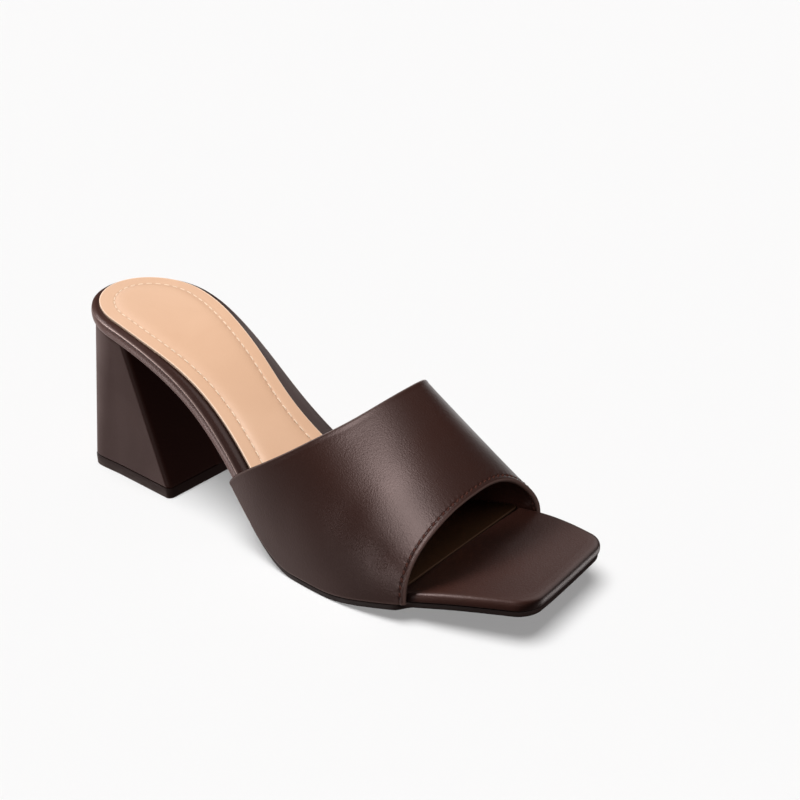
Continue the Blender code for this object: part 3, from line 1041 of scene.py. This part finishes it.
    def sewing(self) -> Form:
        """Stitches at even steps along the groove behind the join, lying on the leather."""
        plan = self.ring(self.groove_at)
        loop = np.vstack([plan[0], plan[1][-2:0:-1], plan[0][:1]])
        path = raised(loop, self.height(loop, self.thread_over))
        centres, along = spaced(path, self.pitch)
        sewn = centres[:, 0] < self.join - self.pitch / 2
        centres, along = centres[sewn], along[sewn]
        x = centres[:, 0]
        step = self.last.slope_step
        ahead, behind = (self.last.level(x + way * step, self.slope_over) for way in (1, -1))
        rise = (ahead - behind) / (2 * step)
        up = unit(np.column_stack([-rise, np.zeros_like(rise), np.ones_like(rise)]))
        return stitches(centres, along, up, *self.thread)

    def build(self, bench: Bench, tan: bpy.types.Material, dark: bpy.types.Material,
              thread: bpy.types.Material) -> None:
        """Builds the two parts of the sock and the stitches in its groove."""
        bench.piece("sock_leather", self.part(ahead=False), tan, Slot.SOCK, "sock")
        # The toe part's dark leather is partly painted shade under the toe opening.
        bench.piece("sock_toe_leather", self.part(ahead=True), dark, Slot.UPPER)
        bench.piece("sock_stitches", self.sewing(), thread, Slot.SOCK, crease=80.0)


@dataclass
class Vamp:
    """One piece vamp: folded edges, a stitched toe opening and a lining set into its wall."""

    last: Last
    instep_height: float = 0.0673
    opening_height: float = 0.0374
    wall: float = 0.0020
    thin_wall: float = 0.00135
    rear: dict[Side, float] = field(default_factory=lambda: {Side.MEDIAL: 0.106, Side.LATERAL: 0.104})
    rear_crown: float = 0.1577
    front_crown: float = 0.1977
    front_foot: dict[Side, float] = field(default_factory=lambda: {Side.MEDIAL: 0.2040, Side.LATERAL: 0.1958})
    ridge_rear: float = 0.0172
    ridge_front: float = 0.005
    crown_bow: float = 0.0012
    bow_ease: float = 0.10
    squareness: float = 2.5
    rear_sweep: dict[Side, tuple[float, float]] = field(
        default_factory=lambda: {Side.MEDIAL: (0.80, 0.25), Side.LATERAL: (0.93, 0.42)})
    front_sweep: float = 2.20
    crowding: float = 0.10
    foot_gap: float = 0.00006
    foot_wrap: float = 0.0003
    wrap_end: tuple[float, float] = (0.110, 0.148)
    off_board: float = 0.0004
    rows: int = 208
    foot_rows: tuple[float, ...] = (0.0005, 0.0015, 0.0031, 0.0055, 0.0086)
    foot_round: float = 0.0007
    middle: int = 78
    rear_marks: tuple[float, ...] = (1.0, 1.3, 1.7, 2.1, 2.6, 3.2, 4.0, 4.9, 5.3, 5.6, 6.2)
    front_marks: tuple[float, ...] = (4.8, 4.0, 3.4, 3.05, 2.8, 2.6, 2.45, 2.3, 2.15, 2.0, 1.85, 1.65, 1.4,
                                      1.2, 1.0)
    lining_rear: tuple[float, ...] = (5.7, 5.9, 6.3)
    lining_front: tuple[float, ...] = (1.8, 0.9, 0.45, 0.25)
    lining_middle: int = 60
    lining_gap: tuple[float, float] = (0.00003, 0.00004)
    fold_rear: float = 0.0054
    recess_steps: tuple[float, float, float] = (0.0002, -0.0002, 0.0001)
    roll: int = 8
    lining_roll: int = 4
    # facing: unlined inner face behind the toe opening, where the vamp's own dark leather shows; kept deep so
    # that it is partly painted shade inside the opening.
    facing: tuple[float, float] = (0.0150, 0.30)
    stitch_pitch: float = 0.0030
    stitch_lean: float = 0.28
    stitch_over: float = -0.000018
    thread: tuple[float, float, float] = (0.0021, 0.00080, 0.00050)
    inner_thread: tuple[float, float, float] = (0.0022, 0.00050, 0.00036)
    inner_over: float = 0.00004
    sewn: Swell = Swell(0.0023, 0.00036, -0.00016)
    needle_hole: Swell = Swell(0.0023, 0.00030, -0.00012)
    pucker: Swell = Swell(0.0029, 0.0011, -0.00005)
    front_fold: Swell = Swell(0.0013, 0.0006, 0.00008)
    rear_folds: tuple[Swell, ...] = (Swell(0.0010, 0.0008, 0.00007), Swell(0.0027, 0.0007, -0.00006))
    sewn_shade: tuple[float, float, float] = (0.00042, 0.30, 0.60)
    # edge_mark: rolled edges lighter, partly wear and partly painted highlight; foot_mark: painted highlight
    # along the foot's rounded edge.
    edge_mark: float = 0.5
    foot_mark: Swell = Swell(0.0007, 0.0003, 0.5)
    crease_arc: float = 0.055
    creases: tuple[Crease, ...] = (
        Crease(x=0.146, turn=0.62, length=0.030, width=0.0065, lean=0.35, depth=0.00014),
        Crease(x=0.158, turn=0.66, length=0.032, width=0.0080, lean=0.30, depth=-0.00010),
        Crease(x=0.168, turn=0.52, length=0.026, width=0.0055, lean=0.20, depth=0.00030),
        Crease(x=0.183, turn=0.36, length=0.014, width=0.0036, lean=-0.10, depth=0.00022),
        Crease(x=0.190, turn=0.34, length=0.012, width=0.0032, lean=-0.12, depth=-0.00014),
        Crease(x=0.150, turn=2.45, length=0.030, width=0.0060, lean=-0.30, depth=0.00032),
        Crease(x=0.166, turn=2.55, length=0.026, width=0.0060, lean=-0.20, depth=-0.00020),
        Crease(x=0.176, turn=2.62, length=0.022, width=0.0050, lean=-0.15, depth=0.00026))

    def point(self, x: Array, turn: Array) -> Array:
        """Outer surface at x and turn, which runs from 0 at the lateral foot to pi at the medial foot.

        The section is half a superellipse: y from the ridge to the foot by |cos turn|^p, z from the foot to
        the crown by |sin turn|^p, p = 2 / squareness.

        Args:
            x: positions along the shoe.
            turn: angles like x.

        Returns:
            Array (..., 3).
        """
        last = self.last
        run = (x - self.rear_crown) / (self.front_crown - self.rear_crown)
        foot = last.level(x, self.foot_level)
        crown = self.instep_height + (self.opening_height - self.instep_height) * run
        bow = run * (1 - run)
        crown = crown + 2 * self.crown_bow * (bow + np.sqrt(bow ** 2 + self.bow_ease ** 2))
        ridge = self.ridge_rear + (self.ridge_front - self.ridge_rear) * run
        outside = last.drawn_in(-(self.off_board + self.wall))
        power = 2.0 / self.squareness
        over, up = np.abs(np.cos(turn)) ** power, np.abs(np.sin(turn)) ** power
        y = np.where(turn < math.pi / 2, ridge - (outside(x, Side.LATERAL) + ridge) * over,
                     ridge + (outside(x, Side.MEDIAL) - ridge) * over)
        return np.stack([x, y, foot + (crown - foot) * up], -1)

    def foot_level(self, x: Array) -> Array:
        """Foot over the outsole's underside: wrapped down behind, standing on the outsole ahead."""
        stood = self.last.outsole_thickness(x) + self.foot_gap
        return self.foot_wrap + (stood - self.foot_wrap) * smoothstep(x, *self.wrap_end)

    def rear_edge(self, turn: Array) -> Array:
        """x of the rear edge: from the feet to the crown by s^(a - b s^2), with s = |sin turn|."""
        s = np.abs(np.sin(turn))
        lines = {side: self.rear[side] + (self.rear_crown - self.rear[side])
                 * s ** (self.rear_sweep[side][0] - self.rear_sweep[side][1] * s * s) for side in Side}
        return np.where(turn < math.pi / 2, lines[Side.LATERAL], lines[Side.MEDIAL])

    def front_edge(self, turn: Array) -> Array:
        """x of the toe opening: the feet's own line, pulled to the crown by |sin turn|^front_sweep."""
        lateral, medial = self.front_foot[Side.LATERAL], self.front_foot[Side.MEDIAL]
        feet = lateral + (medial - lateral) * (1 - np.cos(turn)) / 2
        return feet + (self.front_crown - feet) * np.abs(np.sin(turn)) ** self.front_sweep

    def turns(self) -> Array:
        """Angles across the vamp, closer together near the feet, with more on the feet's rounding."""
        share = np.linspace(0.0, 1.0, self.rows)
        even = math.pi * (share - self.crowding * np.sin(4 * math.pi * share) / (2 * math.pi))
        low = np.arcsin(self.foot_rows)
        return np.sort(np.concatenate([even, low, math.pi - low]))[:, None]

    def over_foot(self, points: Array) -> Array:
        """Height of points over the vamp's foot."""
        return points[..., 2] - self.last.level(points[..., 0], self.foot_level)

    def laid(self, share: Array, turn: Array) -> Array:
        """Outer points at a share from the rear (0) to the front edge (1)."""
        x = self.rear_edge(turn) * (1 - share) + self.front_edge(turn) * share
        return self.point(x, np.broadcast_to(turn, x.shape))

    def lengths(self, turn: Array) -> Array:
        """Length of each row of the vamp, from the rear to the front edge, as a column."""
        fine = self.laid(np.linspace(0.0, 1.0, 60)[None, :], turn)
        return np.linalg.norm(np.diff(fine, axis=1), axis=2).sum(1)[:, None]

    def shares(self, rear: Array, front: Array, middle: int, lengths: Array) -> Array:
        """Shares of the columns: fixed distances at both edges, even steps between, array (rows, columns)."""
        near = np.atleast_2d(rear) / lengths
        far = 1 - np.atleast_2d(front) / lengths
        step = np.linspace(0.0, 1.0, middle + 2)[1:-1][None, :]
        return np.concatenate([near, near[:, -1:] * (1 - step) + far[:, :1] * step, far], 1)

    def frame(self, share: Array, turn: Array) -> tuple[Array, Array, Array]:
        """Points, outward normals and directions to the front on the outer surface.

        Both tangents are central differences of the surface, and the normal is their cross product.

        Args:
            share: array (rows, columns).
            turn: array (rows, 1).

        Returns:
            Three arrays (rows, columns, 3).
        """
        small_share, small_turn = 1e-3, 2e-3
        points = self.laid(share, turn)
        forward = unit(self.laid(share + small_share, turn) - self.laid(share - small_share, turn))
        turned = np.clip(turn, 3e-3, math.pi - 3e-3)
        x = self.rear_edge(turn) * (1 - share) + self.front_edge(turn) * share
        over = np.broadcast_to(turned, x.shape)
        side = unit(self.point(x, over + small_turn) - self.point(x, over - small_turn))
        return points, unit(np.cross(forward, side)), forward

    def relief(self, points: Array, turn: Array, lengths: Array, share: Array, holes: Array) -> Array:
        """Height of the relief: creases, stitch groove, puckers and rolled edges.

        A crease is depth * bell(across) * bell(along), in a frame that leans by `lean` along the turn, with
        turns made lengths by `crease_arc`. The foot's edge is a quarter round.

        Args:
            points: outer points.
            turn: column of angles.
            lengths: column of row lengths.
            share: shares of the columns.
            holes: 1 where a needle hole lies along the stitch row and -1 between, as a column.

        Returns:
            Heights like share, outwards.
        """
        behind, ahead = share * lengths, (1 - share) * lengths
        height = np.zeros(share.shape)
        for crease in self.creases:
            along, aside = (turn - crease.turn) * self.crease_arc, points[..., 0] - crease.x
            height -= (crease.depth * bell(aside - crease.lean * along, 0.0, crease.width)
                       * bell(along, 0.0, crease.length / 2))
        height += self.sewn.over(ahead) + np.clip(holes, 0.0, 1.0) ** 2 * self.needle_hole.over(ahead)
        height += self.front_fold.over(ahead) + sum(fold.over(behind) for fold in self.rear_folds)
        under = np.clip(1 - self.over_foot(points) / self.foot_round, 0.0, 1.0)
        height -= self.foot_round * (1 - np.sqrt(1 - under ** 2))
        return height + holes * self.pucker.over(ahead)

    def shell(self, share: Array, turn: Array, outer: Array, inner: Array, relief: Array,
              roll: int, shade: Array) -> Form:
        """Closed shell between two depths under the outer surface.

        Args:
            share: shares of the columns (rows, columns).
            turn: column of angles.
            outer: depth of its outer face, array like share.
            inner: depth of its inner face.
            relief: height that is added to the outer face.
            roll: points of each edge's half round, an even number.
            shade: mark of the outer face, painted shade along the stitch row, darkest at the needle holes.

        Returns:
            The form.
        """
        points, normals, forward = self.frame(share, turn)
        outside = points + normals * (relief - outer)[..., None]
        inside = points - normals * inner[..., None]
        floor = self.last.level(inside[..., 0], self.foot_level)
        inside[..., 2] = np.maximum(inside[..., 2], floor)
        half = (inner - outer) / 2
        a = np.linspace(0.0, math.pi, roll + 2)[1:-1][None, :, None]

        def rolled(column: int, sign: float) -> Array:
            """Half round beyond the first or last column, between its two faces."""
            middle = (outside[:, column] + inside[:, column])[:, None] / 2
            up = (outside[:, column] - inside[:, column])[:, None] / 2
            out = sign * forward[:, column][:, None] * half[:, column][:, None, None]
            return middle + up * np.cos(a) + out * np.sin(a)

        front, back = rolled(-1, 1.0), rolled(0, -1.0)[:, ::-1]
        loop = np.concatenate([outside, front, inside[:, ::-1], back], 1)
        columns = outside.shape[1]
        edge = np.zeros(loop.shape[:2])
        # Rolled edges lighter by wear and painted highlight; a painted highlight line along the foot.
        edge[:, columns:columns + roll] = edge[:, -roll:] = self.edge_mark
        edge[:, :columns] = self.foot_mark.over(self.over_foot(points))
        dark = np.zeros(loop.shape[:2])
        dark[:, :columns] = shade
        form = Form.grid(loop, wrap_columns=True, edge=edge, shade=dark)
        return form.capped(loop.shape[1], 2 * columns + roll - 1, (0, loop.shape[0] - 1))

    def build(self, bench: Bench, leather: bpy.types.Material, lining: bpy.types.Material,
              thread: bpy.types.Material) -> None:
        """Builds the leather shell, its lining and the stitches round the toe opening."""
        turn = self.turns()
        lengths = self.lengths(turn)
        rear, front = np.asarray(self.rear_marks) * MM, np.asarray(self.front_marks) * MM
        share = self.shares(rear, front, self.middle, lengths)
        seam, seam_normal, _ = self.frame(1 - self.sewn.at / lengths, turn)
        seam, seam_normal = seam[:, 0], seam_normal[:, 0]
        run = run_length(seam)
        step = run[-1] / round(run[-1] / self.stitch_pitch)
        holes = np.cos(2 * math.pi * run / step)[:, None]
        points = self.laid(share, turn)
        relief = self.relief(points, turn, lengths, share, holes)
        behind, ahead = share * lengths, (1 - share) * lengths
        # The unlined facing is kept deep: its dark leather is partly painted shade inside the toe opening.
        facing = self.facing[0] + self.facing[1] * lengths
        recess = smoothstep(behind, self.fold_rear - self.recess_steps[0], self.fold_rear) * smoothstep(
            ahead - facing, *self.recess_steps[1:])
        inner = self.wall - (self.wall - self.thin_wall) * recess
        # Painted shade along the stitch groove, darkest at the needle holes.
        width, between, at_holes = self.sewn_shade
        shade = bell(ahead, self.sewn.at, width) * (between + at_holes * np.clip(holes, 0.0, 1.0) ** 2)
        form = self.shell(share, turn, np.zeros_like(inner), inner, relief, self.roll, shade)
        bench.piece("vamp_leather", form, leather, Slot.UPPER, "upper")

        far = facing + np.asarray(self.lining_front) * MM
        share = self.shares(np.asarray(self.lining_rear) * MM, far, self.lining_middle, lengths)
        depth = np.full(share.shape, self.thin_wall + self.lining_gap[0])
        nothing = np.zeros(share.shape)
        inner = nothing + self.wall - self.lining_gap[1]
        form = self.shell(share, turn, depth, inner, nothing, self.lining_roll, nothing)
        bench.piece("vamp_lining", form, lining, Slot.SOCK)

        path = seam + seam_normal * self.stitch_over
        centres, along = spaced(path, self.stitch_pitch)
        near = np.argmin(np.linalg.norm(path[None] - centres[:, None], axis=2), 1)
        up = seam_normal[near]
        within = slice(1, -1)
        leaning = unit(along + self.stitch_lean * np.cross(up, along))
        sewing = stitches(centres[within], leaning[within], up[within], *self.thread)
        inside = centres - up * (self.wall + self.inner_over)
        back = stitches(inside[within], along[within], -up[within], *self.inner_thread)
        bench.piece("vamp_stitches", sewing.joined(back), thread, Slot.UPPER, crease=80.0)


@dataclass
class Heel:
    """Covered block heel with a lapped seam up its breast, on a rubber lift."""

    last: Last
    lift: float = 0.005
    base_back: float = 0.0025
    base_front: float = 0.0583
    width_back: float = 0.051
    width_front: float = 0.056
    base_arc: float = 0.020
    squareness: float = 8.0
    breast_top: float = 0.0367
    seat_inset: float = 0.0015
    corner: float = 0.0025
    margin: float = 0.0002
    joint: float = 0.00005
    rows: int = 60
    seam_height: float = 0.00035
    seam_sides: tuple[float, float, float, float] = (0.0010, 0.0014, 0.0040, 0.0050)
    turned_in: tuple[Swell, ...] = (Swell(0.0, 0.005, 0.00028), Swell(1.0, 0.006, 0.0005))
    low_shares: tuple[float, ...] = (0.0, 0.004, 0.010)
    even_shares: tuple[float, float] = (0.02, 0.985)
    high_shares: tuple[float, ...] = (0.993, 1.0)
    steps: Steps = Steps(arc=60, side=60, corner=16, front=40)
    lift_edge: tuple[tuple[float, float], ...] = (
        (0.50, 0.00), (0.15, 0.08), (0.00, 0.35), (0.00, 2.50), (0.00, 4.75), (0.05, 4.93), (0.20, 5.00))

    def base(self, margin: float) -> Array:
        """Outline of the heel's base, grown by a margin: its width grows evenly from back to front."""
        def width(x: Array, side: Side) -> Array:
            """Half width between the two given widths."""
            share = (x - self.base_back) / (self.base_front - self.base_back)
            return (self.width_back + (self.width_front - self.width_back) * share) / 2 + margin

        return self.last.outline(
            width=width, back=self.base_back - margin, arc=self.base_back + self.base_arc,
            front=self.base_front + margin, corner=self.corner, squareness=self.squareness, steps=self.steps)

    def build(self, bench: Bench, cover: bpy.types.Material, rubber: bpy.types.Material) -> None:
        """Builds the block, straight lines between the base and the seat, and the lift under it."""
        last = self.last
        seat = last.outline(width=last.drawn_in(self.seat_inset), back=self.seat_inset, arc=last.seat_arc,
                            front=self.breast_top, corner=self.corner, steps=self.steps)
        foot = raised(self.base(0.0), self.lift + self.joint)
        head = raised(seat, last.level(seat[..., 0], -self.joint))
        even = np.linspace(*self.even_shares, self.rows)
        share = np.concatenate([self.low_shares, even, self.high_shares])
        turn_in = sum(fold.over(share) for fold in self.turned_in)
        middle = (foot.mean((0, 1)) + head.mean((0, 1))) / 2
        rings = foot[None] * (1 - share[:, None, None, None]) + head[None] * share[:, None, None, None]
        inward = unit(np.concatenate([middle[:2] - rings[..., :2], np.zeros((*rings.shape[:-1], 1))], -1))
        rings = rings + inward * turn_in[:, None, None, None]
        y = rings[..., 1]
        breast = rings.shape[2] - self.steps.front
        at_breast = smoothstep(np.arange(rings.shape[2]), breast - 1, breast + 1)
        sides = self.seam_sides
        lap = self.seam_height * (smoothstep(y, *sides[:2]) * (1 - smoothstep(y, *sides[2:])))
        rings[..., 0] += lap * at_breast
        under = across(foot[1, :, :2], foot[0, :, :2], 4)
        over = across(head[0, :, :2], head[1, :, :2], 8)
        form = section_form(rings, raised(under, self.lift + self.joint),
                            raised(over, last.level(over[..., 0], -self.joint)))
        bench.piece("heel_covered", form, cover, Slot.HEEL, "heel_block")

        stack = np.stack([raised(self.base(self.margin - inset * MM), z * MM) for inset, z in self.lift_edge])
        under = across(stack[0, 1, :, :2], stack[0, 0, :, :2], 6)
        over = across(stack[-1, 0, :, :2], stack[-1, 1, :, :2], 4)
        bench.piece("heel_lift", section_form(stack, raised(under, 0.0), raised(over, self.lift)), rubber,
                    Slot.LIFT, "top_lift")


# Studio


@dataclass(frozen=True)
class Panel:
    """Soft rectangular light that faces the shoe and lights only the pieces named, or all but those."""

    name: str
    azimuth: float
    rise: float
    size: tuple[float, float]
    radiance: float
    pieces: tuple[str, ...]
    named_are_lit: bool = True
    distance: float = 1.2
    aim: tuple[float, float, float] = (0.02, 0.0, 0.03)

    def build(self, made: list[bpy.types.Object]) -> bpy.types.Object:
        """Makes the light; its watts are radiance * pi * area.

        Args:
            made: the shoe's pieces.

        Returns:
            The light object.
        """
        light = bpy.data.lights.new(self.name, "AREA")
        light.shape, light.size, light.size_y = "RECTANGLE", *self.size
        light.energy = self.radiance * math.pi * self.size[0] * self.size[1]
        lamp = bpy.data.objects.new(self.name, light)
        bpy.context.scene.collection.objects.link(lamp)
        turn, rise = math.radians(self.azimuth), math.radians(self.rise)
        way = np.array([math.cos(turn) * math.cos(rise), math.sin(turn) * math.cos(rise), math.sin(rise)])
        lamp.location = np.asarray(self.aim) + way * self.distance
        lamp.rotation_euler = (math.pi / 2 - rise, 0.0, turn + math.pi / 2)
        lamp.visible_camera = False
        lit = bpy.data.collections.new(f"lit_by_{self.name}")
        for piece in made:
            if (piece.name in self.pieces) == self.named_are_lit:
                lit.objects.link(piece)
        lamp.light_linking.receiver_collection = lit
        return lamp


@dataclass(frozen=True)
class Lobe:
    """Soft lobe of light in the air: its middle, inner and outer angle in degrees, and radiance."""

    toward: tuple[float, float, float]
    inner: float
    outer: float
    radiance: float


@dataclass
class Studio:
    """Pale floor, pale backdrop, soft lights and the camera."""

    camera_at: tuple[float, float, float] = (0.2749, -0.2983, 0.2473)
    heading: float = 37.798
    pitch: float = 25.389
    lens: float = 49.35
    sensor: float = 36.0
    floor_half: float = 9.0
    dome_radius: float = 8.5
    air_tone: float = 0.040
    floor_even: float = 1.00
    floor_soft: float = 2.34
    floor_spread: float = 36.0
    floor_tilt: float = 14.0
    even_spread: float = 20.0
    backdrop_tone: float = 0.965
    air_tint: tuple[float, float, float, float] = (1.0, 0.85, 0.82, 1.0)
    lobes: tuple[Lobe, ...] = (
        Lobe(toward=(-1.0, -0.20, -0.60), inner=12, outer=46, radiance=1.20),
        Lobe(toward=(0.9, 0.3, -0.75), inner=5, outer=45, radiance=0.08))
    panels: tuple[Panel, ...] = (
        Panel("key_above", -25.0, 59.0, (0.88, 0.70), 10.4,
              ("heel_covered", "heel_lift", "board_covered"), named_are_lit=False),
        Panel("key_side", -62.0, 36.0, (0.45, 0.42), 9.6, ("vamp_leather", "vamp_stitches")),
        Panel("key_top", 50.0, 74.0, (0.50, 0.40), 4.0, ("vamp_leather", "vamp_stitches")),
        Panel("board_key", -150.0, 52.0, (0.80, 0.60), 8.0, ("board_covered",)),
        Panel("edge_light", -134.0, 33.0, (0.36, 0.24), 64.0, ("board_covered",)),
        Panel("rim_fill", 80.0, 44.0, (1.50, 1.10), 1.6, ("board_covered",)),
        Panel("sole_light", -114.0, -25.0, (0.40, 0.30), 4.0, ("outsole_thin",)),
        Panel("side_light", -124.0, -14.0, (0.60, 0.40), 7.0, ("board_covered",)),
        Panel("sock_fill", 175.0, 50.0, (1.0, 1.0), 3.0, ("sock_leather", "sock_stitches")),
        Panel("front_fill", -66.0, 14.0, (0.50, 0.35), 1.0, ("vamp_leather", "board_covered")),
        Panel("low_front", -91.0, -8.0, (0.45, 0.26), 9.0, ("vamp_leather",)),
        Panel("toe_low", 50.0, -20.0, (0.9, 0.5), 3.0, ("board_covered",)),
        Panel("heel_side", -76.0, 6.0, (0.50, 0.35), 2.8, ("heel_covered", "heel_lift")),
        Panel("medial_fill", 112.0, -2.0, (1.0, 0.7), 1.5, ("vamp_leather", "heel_covered", "heel_lift")),
        Panel("back_fill", 168.0, 30.0, (1.2, 0.9), 2.4,
              ("vamp_leather", "vamp_lining", "heel_covered", "heel_lift")))

    def floor(self) -> bpy.types.Object:
        """Flat pale floor as a grid of points at z = 0."""
        edge = np.linspace(-self.floor_half, self.floor_half, 9)
        x, y = np.meshgrid(edge, edge, indexing="ij")
        form = Form.grid(np.stack([x, y, np.zeros_like(x)], -1))
        return self.staged("studio_floor", form, Paper("floor_paper").material())

    def staged(self, name: str, form: Form, material: bpy.types.Material) -> bpy.types.Object:
        """Makes a mesh that is part of the studio."""
        piece = mesh_object(name, form.points, form.faces, material)
        return piece

    def dome(self) -> bpy.types.Object:
        """Backdrop: a sphere round the studio, x = R cos a cos b, y = R sin a cos b, z = R sin b."""
        a = np.linspace(0.0, 2 * math.pi, 49)[:, None]
        b = np.linspace(-math.pi / 2, math.pi / 2, 25)[None, :]
        points = self.dome_radius * np.stack(np.broadcast_arrays(
            np.cos(a) * np.cos(b), np.sin(a) * np.cos(b), np.sin(b)), -1)
        material = bpy.data.materials.new("backdrop")
        material.use_nodes = True
        tree = material.node_tree
        glow = tree.nodes.new("ShaderNodeEmission")
        glow.inputs["Color"].default_value = (self.backdrop_tone,) * 3 + (1.0,)
        tree.links.new(glow.outputs[0], tree.nodes["Material Output"].inputs["Surface"])
        tree.nodes.remove(tree.nodes["Principled BSDF"])
        dome = self.staged("studio_backdrop", Form.grid(points), material)
        dome.visible_diffuse = dome.visible_glossy = dome.visible_shadow = False
        dome.visible_transmission = dome.visible_volume_scatter = False
        return dome

    def air(self) -> bpy.types.World:
        """Surroundings that only light the shoe: a sum of soft lobes of light over a faint even tone.

        A lobe is radiance * smoothstep of the cosine between the ray and the lobe's middle.

        Returns:
            The world.
        """
        world = bpy.data.worlds.new("studio_air")
        world.use_nodes = True
        tree = world.node_tree
        background = tree.nodes["Background"]
        background.inputs["Color"].default_value = self.air_tint
        ray = tree.nodes.new("ShaderNodeTexCoord").outputs["Generated"]
        total: object = self.air_tone
        for soft in self.lobes:
            dot = tree.nodes.new("ShaderNodeVectorMath")
            dot.operation = "DOT_PRODUCT"
            tree.links.new(ray, dot.inputs[0])
            dot.inputs[1].default_value = unit(np.asarray(soft.toward, float)).tolist()
            lobe = tree.nodes.new("ShaderNodeMapRange")
            lobe.interpolation_type = "SMOOTHSTEP"
            tree.links.new(dot.outputs["Value"], lobe.inputs["Value"])
            lobe.inputs["From Min"].default_value = math.cos(math.radians(soft.outer))
            lobe.inputs["From Max"].default_value = math.cos(math.radians(soft.inner))
            lobe.inputs["To Max"].default_value = soft.radiance
            add = tree.nodes.new("ShaderNodeMath")
            tree.links.new(lobe.outputs["Result"], add.inputs[0])
            if isinstance(total, bpy.types.NodeSocket):
                tree.links.new(total, add.inputs[1])
            else:
                add.inputs[1].default_value = total
            total = add.outputs[0]
        tree.links.new(total, background.inputs["Strength"])
        return world

    def sun(self, name: str, irradiance: float, spread: float, shadow: bool,
            lit: bpy.types.Collection) -> bpy.types.Object:
        """Light on one collection from above, tilted to the lateral side, with a soft shadow or none."""
        light = bpy.data.lights.new(name, "SUN")
        light.energy, light.angle, light.use_shadow = irradiance, math.radians(spread), shadow
        lamp = bpy.data.objects.new(name, light)
        bpy.context.scene.collection.objects.link(lamp)
        lamp.rotation_euler = (math.radians(self.floor_tilt), 0.0, 0.0)
        lamp.light_linking.receiver_collection = lit
        return lamp

    def build(self, bench: Bench) -> None:
        """Sets up floor, backdrop, lights and camera."""
        floor, _ = self.floor(), self.dome()
        floor.visible_diffuse = floor.visible_glossy = floor.visible_shadow = False
        bpy.context.scene.world = self.air()
        for_floor = bpy.data.collections.new("lit_floor")
        for_floor.objects.link(floor)
        self.sun("floor_light_even", self.floor_even, self.even_spread, False, for_floor)
        self.sun("floor_light_soft", self.floor_soft, self.floor_spread, True, for_floor)
        for panel in self.panels:
            panel.build(bench.made)
        camera = bpy.data.objects.new("camera", bpy.data.cameras.new("camera"))
        camera.data.lens, camera.data.sensor_width = self.lens, self.sensor
        camera.location = self.camera_at
        camera.rotation_euler = (math.radians(90 - self.pitch), 0.0, math.radians(self.heading))
        bpy.context.scene.collection.objects.link(camera)
        bpy.context.scene.camera = camera
        bpy.context.scene.view_settings.view_transform = "Standard"
        bpy.context.scene.view_settings.look = "None"


def main() -> None:
    logging.basicConfig(level=logging.INFO, format="%(message)s")
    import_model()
    board_low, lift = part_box("insole_board")[0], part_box("top_lift")
    bench = Bench((board_low[0], (lift[0][1] + lift[1][1]) / 2, 0.0))
    last = Last()
    wear = Finishes()
    Outsole(last).build(bench, wear.sole.material())
    Board(last).build(bench, wear.cover.material())
    Sock(last).build(bench, wear.tan.material(), wear.inside.material(), wear.cream.material())
    Vamp(last).build(bench, wear.upper.material(), wear.lining.material(), wear.brown.material())
    Heel(last).build(bench, wear.block.material(), wear.rubber.material())
    Studio().build(bench)


if __name__ == "__main__":
    main()
